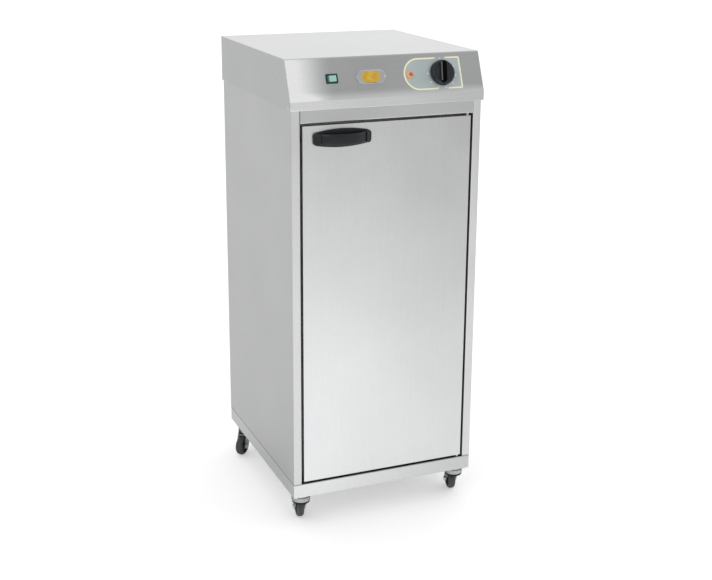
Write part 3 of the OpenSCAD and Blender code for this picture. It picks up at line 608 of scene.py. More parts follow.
def worn_tread(name):
    """Grey rubber tread, paler where it meets the floor."""
    material, n, shader, coords = new_material(name)
    skin = group_outputs(n, MOULDED_SKIN, {"Vector": coords, "Grain Scale": 1200.0})
    dust = group_outputs(n, FLOOR_DUST, {"Vector": coords, "Top": 0.05, "Amount": 0.6})["Dust"]
    color = n.mix(skin["Sheen Change"], (0.036, 0.043, 0.041, 1.0), (0.066, 0.076, 0.072, 1.0))
    n.set(shader.inputs["Base Color"], n.mix(dust, color, (0.2, 0.195, 0.18, 1.0)))
    n.set(shader.inputs["Roughness"], n.spread(skin["Sheen Change"], 0.3, 0.7, 0.45, 0.6))
    n.set(shader.inputs["Normal"], bump(n, skin["Grain"], 0.3, 0.0004))
    return material


HOOD_LO, HOOD_HI = box_corners("hood")
DOOR_LO, DOOR_HI = box_corners("door_skin")
JOINT_Z = box_corners("base_frame")[1].z  # top of the base rail, where the side sheets start

# The hood's sloped fascia, from the fold over its lip to the top
FASCIA_RISE = 0.0865
FASCIA_BACK = 0.036
FASCIA_TILT = math.atan2(FASCIA_BACK, FASCIA_RISE)
FOLD_Z = HOOD_HI.z - FASCIA_RISE
FASCIA = Matrix.Translation((0, HOOD_LO.y, FOLD_Z)) @ Matrix.Rotation(
    math.pi / 2 - FASCIA_TILT, 4, "X"
)

# Places along the fascia, and one height up its slope for all of them
KNOB_X = 0.131
LAMP_X = 0.054
BADGE_X = -0.038
SWITCH_X = -0.1285
CONTROL_UP = 0.0465
LAMP_AT = FASCIA @ Vector((LAMP_X + 1 * MM, CONTROL_UP, 5 * MM))

FINISH = {
    "hood": stainless(
        # painted reflection on the fascia and its lip
        "stainless_hood", 0.58, 0.3, (12, 900, 900), 0.03, painted_fascia_reflection(1.85, 0.74, 1.5, 1.4, 1.05)
    ),
    "upright": stainless(
        "stainless_upright",
        0.62,
        0.34,
        (700, 700, 10),
        0.035,
        # painted reflection on the front posts, and the dark joint line over the rail
        bands(painted_post_reflection(0.96, 1.1), seam_at(JOINT_Z, 2.6, 0.5)),
    ),
    "door": stainless(
        "stainless_door",
        0.64,
        0.34,
        (700, 700, 9),
        0.03,
        # painted reflection: the door is painted lighter towards the bottom and towards the left
        bands(band("Z", 0.15, 0.9, 1.04, 0.98), band("X", -0.19, 0.19, 1.07, 0.92)),
    ),
    "rail": stainless(
        "stainless_rail",
        0.63,
        0.34,
        (10, 900, 900),
        0.03,
        # painted reflection: the rail is painted lighter at the left end and darker at the right; and
        # the dark joint line
        bands(band("X", -0.18, 0.225, 1.1, 0.81), seam_at(JOINT_Z, 3.2, 0.5)),
    ),
    "header": stainless("stainless_header", 0.56, 0.34, (10, 900, 900), 0.03),
    "inner": stainless("inner_sheet", 0.5, 0.26, (500, 9, 500), 0.05),
    "zinc": plated("zinc_plate", 0.62, 0.3),
    "bright": plated("bright_wire", 0.7, 0.16, 0.03),
    "screw": plated("screw_nickel", 0.66, 0.22, 0.03),
    "black": moulded("black_moulding", (0.011, 0.014, 0.016), 0.34, gloss=0.32),
    "knob": moulded("knob_black", (0.016, 0.02, 0.025), 0.34, 1800.0, 0.16, gloss=0.34),
    # painted shade: the bar's black is darker and duller than the knob's, for the shade along its
    # flank
    "knob_bar": moulded("knob_bar_painted_shade", (0.002, 0.002, 0.003), 0.4, 1800.0, 0.1, gloss=0.03),
    # painted highlight: a grey strip stands in for the lit left edge of the knob's bar
    "painted_knob_highlight": moulded("knob_line_grey", (0.15, 0.165, 0.15), 0.4, 1800.0, 0.08, 0.06),
    "rubber": moulded("seal_rubber", (0.02, 0.02, 0.021), 0.6, 1400.0, 0.2),
    "white": moulded("white_moulding", (0.72, 0.71, 0.66), 0.45, 1500.0, 0.1, 0.04),
    "grey": moulded("grey_moulding", (0.05, 0.05, 0.053), 0.5, 1500.0, 0.15),
    "core": moulded("wheel_core", (0.035, 0.036, 0.037), 0.45, 1500.0, 0.15),
    "tread": worn_tread("worn_tread"),
    "bezel": moulded("switch_bezel", (0.008, 0.04, 0.037), 0.3, 2200.0, 0.08, gloss=0.35),
    "rocker": lens_plastic(
        "rocker_green",
        (0.33, 0.6, 0.53),
        # colour of the painted shade on the rocker's pressed-in end
        (0.03, 0.13, 0.115),
        painted_rocker_shade(SWITCH_X - 7.5 * MM, SWITCH_X - 4.5 * MM),
    ),
    "lens": lens_plastic(
        "lamp_orange", (0.86, 0.38, 0.16), (0.27, 0.08, 0.025), heart_mask(LAMP_AT, 5.0 * MM)
    ),
    "lamp_ring": moulded("lamp_ring", (0.74, 0.48, 0.29), 0.3, 1500.0, 0.08),
    "polished": plated("polished_rim", 0.5, 0.16, 0.04),
    "nut": plated("bright_nut", 0.8, 0.2, 0.02),
    "fork": plated("fork_zinc", 0.42, 0.3, 0.1),
    # black of the rings that paint in the shade under the fork crowns
    "guard": moulded("painted_shade_black", (0.006, 0.008, 0.008), 0.5, 1500.0, 0.12, gloss=0.2),
    "dial": enamel("dial_ground", (0.5, 0.56, 0.565), (0.44, 0.5, 0.515)),
    "dial_line": moulded("dial_line", (1.0, 0.97, 0.66), 0.45, 1500.0, 0.05, 0.02),
    "dial_mark": enamel("dial_mark", (0.92, 0.94, 0.93), (0.86, 0.88, 0.88)),
    "badge": enamel("badge_yellow", (0.78, 0.53, 0.08), (0.64, 0.37, 0.03), 90.0),
    "oxide": oxidised("heater_oxide"),
    "wool": mineral_wool("mineral_wool"),
    "copper": plated("copper_tube", 0.5, 0.3, 0.05),
    "wire": moulded("wire_cover", (0.4, 0.05, 0.04), 0.4, 1500.0, 0.1),
}

# CAD nodes by their finish, also the nodes that pieces of this script stand in for
NODES_OF_FINISH = {
    "rail": "base_frame",
    "upright": "side_panel_left side_panel_right rear_panel",
    "header": "front_header",
    "hood": "hood",
    "door": "door_skin",
    "inner": "top_deck door_frame liner_sides liner_ends liner_back shelf_uprights shelf_clips"
    " heater_guard door_inner_panel",
    "wool": "insulation door_insulation",
    "rubber": "door_seal",
    "bright": "shelf_lower shelf_upper",
    "oxide": "heating_element",
    "white": "thermostat lamp_body terminal_block door_bushes",
    "copper": "thermostat_bulb",
    "wire": "wiring",
    "bezel": "switch_housing",
    "rocker": "rocker",
    "lens": "lamp_lens",
    "dial": "dial_plate",
    "badge": "badge_plate",
    "grey": "magnet_catch",
    "black": "cable_gland door_handle",
    "knob": "thermostat_knob",
    "screw": "panel_screws handle_screws thermostat_shaft",
    "zinc": "hinge_brackets caster_plates caster_bolts strike_plate",
    "fork": " ".join("fork_" + corner for corner in CORNERS),
    "nut": " ".join("axle_" + corner for corner in CORNERS),
    "core": " ".join("core_" + corner for corner in CORNERS),
    "tread": " ".join("tyre_" + corner for corner in CORNERS),
}

for finish, nodes_of_it in NODES_OF_FINISH.items():
    for node in nodes_of_it.split():
        NODES[node].data.materials.clear()
        NODES[node].data.materials.append(FINISH[finish])


# ---------- shapes ----------

FRONT_Y = DOOR_LO.y
TOUCH = 2e-5  # how near a point lies to a plane that it is on


def loft(bm, rings, closed=True):
    """Skins a list of equally long closed rings; closed caps both ends. Returns their vertices."""
    made = [[bm.verts.new(p) for p in ring] for ring in rings]
    count = len(made[0])
    for low, high in zip(made, made[1:]):
        for i in range(count):
            j = (i + 1) % count
            bm.faces.new((low[i], low[j], high[j], high[i]))
    if closed:
        bm.faces.new(list(reversed(made[0])))
        bm.faces.new(made[-1])
    return made


def lathe(bm, profile, matrix, segments):
    """Turns a closed outline of (radius, height) points about the matrix's Z axis."""
    turns = [2 * math.pi * i / segments for i in range(segments)]
    rings = [
        [matrix @ Vector((radius * math.cos(a), radius * math.sin(a), height)) for a in turns]
        for radius, height in profile
    ]
    if profile[0][0] > 1e-6:
        loft(bm, rings + [rings[0]], closed=False)
        return
    made = loft(bm, rings[1:-1], closed=False)
    ends = [bm.verts.new(matrix @ Vector((0, 0, profile[k][1]))) for k in (0, -1)]
    for i in range(segments):
        j = (i + 1) % segments
        bm.faces.new((ends[0], made[0][j], made[0][i]))
        bm.faces.new((ends[1], made[-1][i], made[-1][j]))


def turned(name, profile, place, segments, smooth_angle, scale=1.0):
    """Piece turned from an outline in millimetres about the place's Z axis."""
    bm = bmesh.new()
    lathe(bm, [(r * scale * MM, z * MM) for r, z in profile], place, segments)
    return from_bmesh(name, bm, smooth_angle)


def stadium(length, width):
    """Outline of a bar with half-round ends, about the origin."""
    steps = 16
    r = width / 2
    points = []
    for side in (1, -1):
        for i in range(steps + 1):
            a = math.pi * (i / steps - 0.5)
            x = side * (length / 2 - r + r * math.cos(a))
            points.append(Vector((x, side * r * math.sin(a), 0)))
    return points


def round_rect(width, height, r):
    """Outline of a rectangle with round corners, about the origin."""
    steps = 6
    points = []
    for cx, cy, start in ((1, 1, 0), (-1, 1, 90), (-1, -1, 180), (1, -1, 270)):
        for i in range(steps + 1):
            a = math.radians(start + 90 * i / steps)
            x = cx * (width / 2 - r) + r * math.cos(a)
            y = cy * (height / 2 - r) + r * math.sin(a)
            points.append(Vector((x, y, 0)))
    return points


def raised(matrix, outline, height, scale=(1.0, 1.0)):
    """The outline at a height over the matrix's plane, scaled about its origin."""
    return [matrix @ Vector((p.x * scale[0], p.y * scale[1], height)) for p in outline]


# ---------- folded sheet ----------

def on_fascia(x, up, out=0.0):
    """Frame on the fascia: X to the right, Y up the slope, Z outwards."""
    return FASCIA @ Matrix.Translation((x, up, out))


def hood_faces(point):
    """Names of the hood's outer planes that a point lies on."""
    on = set()
    if abs(abs(point.x) - HOOD_HI.x) < TOUCH:
        on.add("side")
    if abs(point.y - HOOD_LO.y) < TOUCH and point.z < FOLD_Z + TOUCH:
        on.add("lip")
    if abs(point.y - HOOD_HI.y) < TOUCH:
        on.add("rear")
    if abs(point.z - HOOD_HI.z) < TOUCH:
        on.add("top")
    if abs((FASCIA.inverted() @ point).z) < TOUCH:
        on.add("fascia")
    return on


def make_hood():
    hood = softened(
        "hood",
        "hood_shell",
        1.8 * MM,
        lambda a, b: len(hood_faces(a) & hood_faces(b)) >= 2,
        segments=4,
    )
    dress(hood, "hood", "hood")


def make_door_skin():
    bush_lo, bush_hi = box_corners("door_bushes")
    hinge = (bush_lo + bush_hi) / 2

    def on_pan_edge(a, b):
        level = any(abs(a.z - z) < TOUCH and abs(b.z - z) < TOUCH for z in (DOOR_LO.z, DOOR_HI.z))
        outside = all(
            p.y < FRONT_Y + 2.1 * MM or abs(abs(p.x) - DOOR_HI.x) < TOUCH for p in (a, b)
        )
        behind = a.y > DOOR_HI.y - TOUCH and b.y > DOOR_HI.y - TOUCH
        at_hinge = (Vector((a.x, a.y)) - Vector((hinge.x, hinge.y))).length < 6 * MM
        return level and outside and not behind and not at_hinge

    skin = softened("door_skin", "door_pan", 1.2 * MM, on_pan_edge)
    dress(skin, "door_skin", "door")


def make_softened_fittings():
    """Hardware whose shape is right, with its sharp edges broken as on the real parts."""
    fittings = [
        ("base_frame", "base_rail", 0.5, "rail"),
        ("hinge_brackets", "hinge_plates", 0.4, "zinc"),
        ("caster_plates", "caster_top_plates", 0.5, "fork"),
        ("caster_bolts", "caster_bolt_heads", 0.4, "zinc"),
        ("cable_gland", "cord_gland", 0.5, "black"),
        ("magnet_catch", "catch_block", 0.8, "grey"),
        ("heater_guard", "guard_cover", 0.5, "inner"),
        ("switch_housing", "switch_bezel", 0.5, "bezel"),
        ("rocker", "switch_rocker", 0.45, "rocker"),
        ("terminal_block", "terminals", 0.6, "white"),
        ("thermostat", "thermostat_body", 0.8, "white"),
    ]
    fittings += [("fork_" + c, "caster_fork_" + c, 0.7, "fork") for c in CORNERS]
    fittings += [("axle_" + c, "caster_axle_" + c, 0.6, "nut") for c in CORNERS]
    for node, name, width, finish in fittings:
        piece = softened(node, name, width * MM, lambda a, b: True, segments=2, angle=35)
        dress(piece, node, finish)


make_hood()
make_door_skin()
make_softened_fittings()


# ---------- handle ----------


def barrel_outline(length, end_height, height):
    """Outline of a plate between two flat arcs, with square ends, about the origin."""
    steps = 32
    rise = (height - end_height) / 2
    r = (length * length / 4 + rise * rise) / (2 * rise)
    half_angle = math.asin(length / 2 / r)
    points = []
    for side in (1, -1):
        for i in range(steps + 1):
            a = half_angle * (2 * i / steps - 1)
            y = side * (r * math.cos(a) - r + height / 2)
            points.append(Vector((-side * r * math.sin(a), y, 0)))
    return points


HANDLE_CAP = (15 * MM, 27 * MM, 6.8 * MM)  # width, height and corner radius of an end cap
HANDLE_CAP_TOP = 9.5  # height of a cap's middle over the door, in millimetres
HANDLE_CAP_SLOPE = 0.6  # its rise towards the bow, in millimetres a millimetre
HANDLE_PLATE_T = 3 * MM
HANDLE_PLATE_END = 29 * MM  # height of the back plate's square ends
# (distance from the seat, scale along, scale across) up the back plate's rolled rim
HANDLE_PLATE_RIM = [
    (0.0, 1.0, 1.0), (1.6, 1.0, 1.0), (2.4, 0.996, 0.98), (2.9, 0.985, 0.94), (3.0, 0.96, 0.87),
]  # fmt: skip
# (height, distance from the outer face) round the bow's crowned band
HANDLE_BAND = [
    (-12.0, -3.6), (-11.4, -4.7), (-10.1, -5.0), (10.1, -5.0), (11.4, -4.7), (12.0, -3.6),
    (11.8, -1.8), (11.0, -0.8), (6.5, -0.25), (0.0, 0.0), (-6.5, -0.25), (-11.0, -0.8), (-11.8, -1.8),
]  # fmt: skip
# (scale, drop under the slope) from a cap's edge to the middle of its dish
HANDLE_CAP_DISH = [
    (1.0, 2.6), (0.985, 1.2), (0.95, 0.4), (0.88, 0.0), (0.76, 0.1), (0.66, 0.6), (0.5, 0.9),
    (0.25, 1.0),
]  # fmt: skip


def make_handle():
    lo, hi = box_corners("door_handle")
    middle = (lo + hi) / 2
    length = hi.x - lo.x
    height = hi.z - lo.z
    reach = FRONT_Y - lo.y
    chord = length - HANDLE_CAP[0]
    # Local frame: X along the door, Y up, Z out of the door
    seat = Matrix.Translation((middle.x, FRONT_Y, middle.z)) @ Matrix.Rotation(math.pi / 2, 4, "X")
    bm = bmesh.new()

    # Back plate
    plate = barrel_outline(chord, HANDLE_PLATE_END, height)
    loft(bm, [raised(seat, plate, z * MM, (sx, sy)) for z, sx, sy in HANDLE_PLATE_RIM])

    # Bow
    rise = reach - HANDLE_PLATE_T
    bow_r = (chord * chord / 4 + rise * rise) / (2 * rise)
    bow_angle = math.asin((chord / 2 - 2 * MM) / bow_r)
    steps = 48
    rings = []
    for i in range(steps + 1):
        a = bow_angle * (2 * i / steps - 1)
        ring = []
        for up, out in HANDLE_BAND:
            radius = bow_r + out * MM
            z = reach - bow_r + radius * math.cos(a)
            ring.append(seat @ Vector((radius * math.sin(a), up * MM, z)))
        rings.append(ring)
    loft(bm, rings)

    # Wedge-shaped cap at each end, dished in its sloping face; the dish narrows faster along x
    outline = round_rect(*HANDLE_CAP)
    for side in (-1, 1):
        cap = seat @ Matrix.Translation((side * chord / 2, 0, 0))
        rings = [raised(cap, outline, 0)]
        for scale, drop in HANDLE_CAP_DISH:
            ring = []
            for p in outline:
                x = p.x * (1 - (1 - scale) * 1.25)
                slope = (HANDLE_CAP_TOP - side * x / MM * HANDLE_CAP_SLOPE) * MM
                ring.append(cap @ Vector((x, p.y * scale, slope - drop * MM)))
            rings.append(ring)
        loft(bm, rings)

    handle = from_bmesh("bow_handle", bm, 50)
    dress(handle, "door_handle", "black")


make_handle()


# ---------- knob, dial and lamp ----------

FILM_T = 0.5 * MM
KNOB_SEAT = 0.8 * MM
KNOB_BAR_TURN = -6.5  # degrees past the dial's zero mark, as photographed
KNOB_LO, KNOB_HI = box_corners("thermostat_knob")
KNOB_R = (KNOB_HI.x - KNOB_LO.x) / 2
KNOB_BAR_LEFT = 1.2 * MM  # how far the bar's middle lies left of the knob's
# (radius, height) up a 56 mm knob's body, in millimetres
KNOB_BODY = [
    (0, 0), (26.9, 0), (27.3, 0.4), (27.3, 8.8), (26.9, 9.9), (26.0, 11.2), (24.8, 12.2),
    (23.6, 12.8), (22.2, 13.0), (21.2, 12.8), (20.4, 12.3), (19.6, 12.1), (12, 12.0), (4, 12.0),
    (0, 12.0),
]  # fmt: skip
# (height, length, width) up the grip bar, in millimetres
KNOB_BAR = [
    (10.5, 52, 14.0), (13.0, 51, 12.8), (16.5, 49.6, 11.6), (19.2, 48, 10.8), (20.4, 46.8, 9.8),
    (20.8, 45.4, 8.2),
]  # fmt: skip
# Place and turn of the painted highlight strip on the bar's left shoulder
KNOB_HIGHLIGHT_AT = (-5.75 * MM, 0, 17.2 * MM)
KNOB_HIGHLIGHT_TILT = -76
KNOB_HIGHLIGHT_WIDTH = 5.0 * MM


def make_knob():
    base = on_fascia(KNOB_X, CONTROL_UP, KNOB_SEAT)
    across = KNOB_R / (28 * MM)
    body = turned("knob_body", KNOB_BODY, base, 96, 50, across)
    dress(body, "thermostat_knob", "knob")

    bm = bmesh.new()
    at_mark = base @ Matrix.Rotation(math.radians(KNOB_BAR_TURN), 4, "Z")
    bar_at = at_mark @ Matrix.Translation((-KNOB_BAR_LEFT, 0, 0))
    upright = bar_at @ Matrix.Rotation(math.pi / 2, 4, "Z")
    loft(bm, [raised(upright, stadium(l * across * MM, w * MM), z * MM) for z, l, w in KNOB_BAR])
    bar = from_bmesh("knob_bar", bm, 50)
    # the bar gets the darker black, painted shade
    dress(bar, "thermostat_knob", "knob_bar")

    # painted highlight: a grey strip along the bar's left shoulder, where its edge catches the light
    bm = bmesh.new()
    shoulder = [Vector((0, y * across * MM)) for y in (-20.5, -7, 7, 20.5)]
    tilt = Matrix.Rotation(math.radians(KNOB_HIGHLIGHT_TILT), 4, "Y")
    place = bar_at @ Matrix.Translation(KNOB_HIGHLIGHT_AT) @ tilt
    strip_along(bm, place, shoulder, KNOB_HIGHLIGHT_WIDTH, -0.5 * MM, 0.25 * MM)
    painted_strip = from_bmesh("knob_painted_highlight", bm)
    dress(painted_strip, "thermostat_knob", "painted_knob_highlight", replaces=False)


def geometry_tree(name, sizes):
    """Empty geometry tree with named sizes and a finish; returns its Tree, inputs and last step.

    The last step turns what was grown into one plain mesh with the finish.
    """
    tree = bpy.data.node_groups.new(name, "GeometryNodeTree")
    new_sockets(tree, "INPUT", [("Geometry", "Geometry"), *sizes, ("Finish", "Material")])
    new_sockets(tree, "OUTPUT", [("Geometry", "Geometry")])
    n = Tree(tree)
    given = n.add("NodeGroupInput").outputs
    sink = n.add("NodeGroupOutput").inputs

    def end(copies):
        solid = n.add("GeometryNodeRealizeInstances", {"Geometry": copies}).outputs[0]
        shown = n.add("GeometryNodeSetMaterial", {"Geometry": solid, "Material": given["Finish"]})
        n.set(sink["Geometry"], shown.outputs[0])

    return n, given, end


def ring_tree():
    """Geometry tree: copies of a bar, evenly spaced over an arc."""
    n, given, end = geometry_tree(
        "ring_of_bars",
        [
            ("Count", "Int", 36),
            ("Arc", "Float", 360.0),
            ("Ring Radius", "Float", 0.03),
            ("Bar Size", "Vector", (0.001, 0.001, 0.001)),
        ],
    )
    points = n.add("GeometryNodeMeshLine", {"Count": given["Count"]}).outputs["Mesh"]
    index = n.add("GeometryNodeInputIndex").outputs[0]
    step = n.math("DIVIDE", given["Arc"], given["Count"])
    angle = n.math("RADIANS", n.math("MULTIPLY", index, step))
    x = n.math("MULTIPLY", given["Ring Radius"], n.math("SINE", angle))
    y = n.math("MULTIPLY", given["Ring Radius"], n.math("COSINE", angle))
    spread = n.add("GeometryNodeSetPosition", {"Geometry": points, "Position": n.xyz(x, y)})
    bar = n.add("GeometryNodeMeshCube", {"Size": given["Bar Size"]}).outputs["Mesh"]
    turn = n.xyz(z=n.math("MULTIPLY", angle, -1.0))
    copies = n.add(
        "GeometryNodeInstanceOnPoints",
        {"Points": spread.outputs[0], "Instance": bar, "Rotation": turn},
    )
    end(copies.outputs[0])
    return n.tree


def grown(name, tree, values, matrix=None, smooth_angle=30, mesh=None):
    """Object made by a geometry tree from its named inputs, as a plain mesh in its place."""
    obj = new_object(name, mesh or bpy.data.meshes.new(name))
    modifier = obj.modifiers.new("grow", "NODES")
    modifier.node_group = tree
    for item in tree.interface.items_tree:
        if item.item_type == "SOCKET" and item.in_out == "INPUT" and item.name in values:
            modifier[item.identifier] = values[item.name]
    bake_modifiers(obj, smooth_angle)
    if matrix is not None:
        obj.data.transform(matrix)
    return obj


RING_TREE = ring_tree()


def round_edges(obj, width, segments):
    """Rounds every sharp edge of a piece."""
    bevel = obj.modifiers.new("round", "BEVEL")
    bevel.width = width
    bevel.segments = segments
    bevel.limit_method = "ANGLE"
    bevel.angle_limit = math.radians(30)
    bake_modifiers(obj)


def make_knob_ribs():
    ribs = grown(
        "knob_ribs",
        RING_TREE,
        {
            "Count": 48,
            "Ring Radius": KNOB_R - 0.8 * MM,
            "Bar Size": (1.7 * MM, 1.5 * MM, 8.4 * MM),
            "Finish": FINISH["knob"],
        },
        on_fascia(KNOB_X, CONTROL_UP, KNOB_SEAT + 4.4 * MM),
    )
    round_edges(ribs, 0.35 * MM, 2)
    dress(ribs, "thermostat_knob", "knob")


def strip_along(bm, matrix, path, width, low, high):
    """Flat strip of a given width along an open path of 2-D points."""
    left, right = [], []
    for i, point in enumerate(path):
        before = path[max(i - 1, 0)]
        after = path[min(i + 1, len(path) - 1)]
        to = (point - before).normalized() if i > 0 else (after - point).normalized()
        on = (after - point).normalized() if i < len(path) - 1 else to
        normal = Vector((-(to + on).y, (to + on).x)).normalized()
        stretch = 1 / max(0.4, normal.dot(Vector((-on.y, on.x))))
        left.append(point + normal * width / 2 * stretch)
        right.append(point - normal * width / 2 * stretch)
    rows = []
    for a, b in zip(left, right):
        corners = ((a, low), (a, high), (b, high), (b, low))
        rows.append([matrix @ Vector((p.x, p.y, z)) for p, z in corners])
    loft(bm, rows)


DIAL_R = 36.5 * MM
DIAL_RIGHT = 48 * MM
DIAL_LEFT = 15 * MM
DIAL_NUMBERS = {"0": 0, "30": 67, "40": 101, "50": 135, "60": 169, "70": 203, "80": 236, "90": 270}
DIAL_NUMBER_R = 33.6 * MM
DIAL_TICK_R = 30.3 * MM


def make_dial_print():
    """Border line, broken over and under the knob, ticks and plain numbers."""
    plate = on_fascia(KNOB_X, CONTROL_UP)
    inset = 2.2 * MM
    reach = DIAL_R - inset
    right = DIAL_RIGHT - inset
    round_x = LAMP_X - KNOB_X - DIAL_LEFT + DIAL_R
    gap = 12 * MM
    corner = [Vector((right - 1.5 * MM, reach)), Vector((right, reach - 1.5 * MM))]
    square_end = [Vector((gap, reach))] + corner
    square_end += [Vector((p.x, -p.y)) for p in reversed(square_end)]
    round_end = [Vector((-gap, reach))]
    for i in range(33):
        a = math.pi * (0.5 + i / 32)
        round_end.append(Vector((round_x + reach * math.cos(a), reach * math.sin(a))))
    round_end.append(Vector((-gap, -reach)))
    bm = bmesh.new()
    for path in (square_end, round_end):
        strip_along(bm, plate, path, 3.5 * MM, FILM_T - 0.1 * MM, FILM_T + 0.12 * MM)
    border = from_bmesh("dial_border", bm)
    dress(border, "dial_plate", "dial_line", replaces=False)

    ticks = grown(
        "dial_ticks",
        RING_TREE,
        {
            "Count": 25,
            "Arc": 279.0,
            "Ring Radius": DIAL_TICK_R,
            "Bar Size": (0.5 * MM, 1.5 * MM, 0.22 * MM),
            "Finish": FINISH["dial_mark"],
        },
        plate @ Matrix.Translation((0, 0, FILM_T)),
    )
    dress(ticks, "dial_plate", "dial_mark", replaces=False)

    bm = bmesh.new()
    for text, degrees in DIAL_NUMBERS.items():
        curve = bpy.data.curves.new("number", "FONT")
        curve.body = text
        curve.size = 5.0 * MM
        curve.offset = 0.12 * MM
        curve.align_x = "CENTER"
        curve.align_y = "CENTER"
        curve.extrude = 0.08 * MM
        curve.resolution_u = 2
        writing = bpy.data.objects.new("number", curve)
        bpy.context.scene.collection.objects.link(writing)
        graph = bpy.context.evaluated_depsgraph_get()
        mesh = bpy.data.meshes.new_from_object(writing.evaluated_get(graph))
        a = math.radians(degrees)
        spot = (DIAL_NUMBER_R * math.sin(a), DIAL_NUMBER_R * math.cos(a), FILM_T)
        mesh.transform(plate @ Matrix.Translation(spot))
        bm.from_mesh(mesh)
        bpy.data.objects.remove(writing)
        bpy.data.curves.remove(curve)
        bpy.data.meshes.remove(mesh)
    figures = from_bmesh("dial_numbers", bm)
    dress(figures, "dial_plate", "dial_mark", replaces=False)


# Lamp lens in millimetres: (radius, height) up its foot, then a faintly stepped dome
LAMP_FOOT = [(0, -11.2), (5.9, -11.2), (5.9, 0.6), (6.9, 0.7), (7.2, 1.8)]
LAMP_DOME_R = 7.1
LAMP_DOME_RISE = 3.3
LAMP_RIPPLE = 0.12
LAMP_TOP = 5.35


def make_lamp():
    seat = on_fascia(LAMP_X, CONTROL_UP)
    lo, hi = box_corners("lamp_lens")
    outer = (hi.x - lo.x) / 2 / MM
    ring = [(6.2, 0.5), (outer, 0.5), (outer, 1.4), (outer - 0.3, 2.0), (outer - 0.9, 2.3)]
    collar = turned("lamp_collar", ring + [(6.8, 2.2), (6.3, 1.7)], seat, 48, 60)
    dress(collar, "lamp_lens", "lamp_ring")
    profile = list(LAMP_FOOT)
    for i in range(1, 12):
        a = math.pi / 2 * i / 12
        ripple = LAMP_RIPPLE if i % 2 else 0.0
        profile.append((LAMP_DOME_R * math.cos(a), 2.0 + LAMP_DOME_RISE * math.sin(a) + ripple))
    dome = turned("lamp_dome", profile + [(0, LAMP_TOP)], seat, 48, 60)
    dress(dome, "lamp_lens", "lens")


BADGE_SIZE = (70, 32)  # millimetres
BADGE_GROUND = (21.5 * MM, 12.9 * MM)  # half sizes of the coloured ground
BADGE_CORNERS = (0.8, 0.7)  # how far the ground's outline is squared, along and across
# (height, inset) over the rim's outer bead, in millimetres
BADGE_RIM = [
    (0.0, 0.0), (0.9, 0.0), (1.5, 0.25), (1.9, 0.8), (2.0, 1.3), (1.9, 1.8), (1.5, 2.3), (1.1, 2.6),
    (1.0, 3.2),
]  # fmt: skip
# (height, scale) up the ground's dome
BADGE_DOME = [
    (0.9, 1.0), (1.1, 1.0), (1.6, 0.975), (2.0, 0.93), (2.25, 0.86), (2.42, 0.74), (2.52, 0.55),
    (2.55, 0.3),
]  # fmt: skip


def make_badge():
    """Bare badge: bright rim with a beaded edge, and a domed ground."""
    seat = on_fascia(BADGE_X, CONTROL_UP)
    bm = bmesh.new()
    rings = []
    for z, inset in BADGE_RIM:
        outline = stadium(*((size - 2 * inset) * MM for size in BADGE_SIZE))
        rings.append(raised(seat, outline, z * MM))
    loft(bm, rings)
    frame_piece = from_bmesh("badge_rim", bm, 50)
    dress(frame_piece, "badge_plate", "polished")
    bm = bmesh.new()
    outline = []
    for i in range(72):
        a = 2 * math.pi * i / 72
        spot = [
            half * math.copysign(abs(way) ** power, way)
            for half, power, way in zip(BADGE_GROUND, BADGE_CORNERS, (math.cos(a), math.sin(a)))
        ]
        outline.append(Vector((*spot, 0)))
    loft(bm, [raised(seat, outline, z * MM, (s, s)) for z, s in BADGE_DOME])
    ground = from_bmesh("badge_ground", bm, 60)
    dress(ground, "badge_plate", "badge", replaces=False)


make_knob()
make_knob_ribs()
make_dial_print()
make_lamp()
make_badge()


# ---------- wheels ----------

ROLL = {}
SWIVEL = {}
for joint in frame["record"]["behaviour"]["joints"]:
    for prefix, found in (("roll_", ROLL), ("swivel_", SWIVEL)):
        if joint["name"].startswith(prefix):
            found[joint["name"][len(prefix):]] = joint


def wheel_frame(corner):
    """Frame at a wheel's middle with Z along its axle."""
    joint = ROLL[corner]
    axis = Vector(joint["axis"]).normalized()
    up = Vector((0, 0, 1))
    side = up.cross(axis)
    turn = Matrix((up, side, axis)).transposed().to_4x4()
    return Matrix.Translation(joint["pos_m"]) @ turn


# (radius, place along the axle) round a wheel's core, in millimetres
WHEEL_WEB = [
    (4.1, -10.5), (7.6, -10.5), (8.0, -10.1), (8.0, -6.0), (10, -4.4), (15, -4.4), (16.6, -6.4),
    (17.0, -8.0), (19.0, -8.0), (19.0, 8.0), (17.0, 8.0), (16.6, 6.4), (15, 4.4), (10, 4.4),
    (8.0, 6.0), (8.0, 10.1), (7.6, 10.5), (4.1, 10.5),
]  # fmt: skip
TYRE_R = 25
TYRE_HALF = 9.0  # half its width
TYRE_SHOULDER = 0.75  # radius of a shoulder, as a share of the half width
TYRE_INNER_R = 19.0
GROOVE_R = 24.2
GROOVE_AT = 1.6  # from the tyre's middle to that of each groove
# Ring that paints in the shade under a fork's crown
SHADE_RING_OUTER = 20.9
SHADE_RING_INNER = 17.0
SHADE_RING_FOOT = (17.4, 20.2)  # radii of the flat foot between the ring's bevels


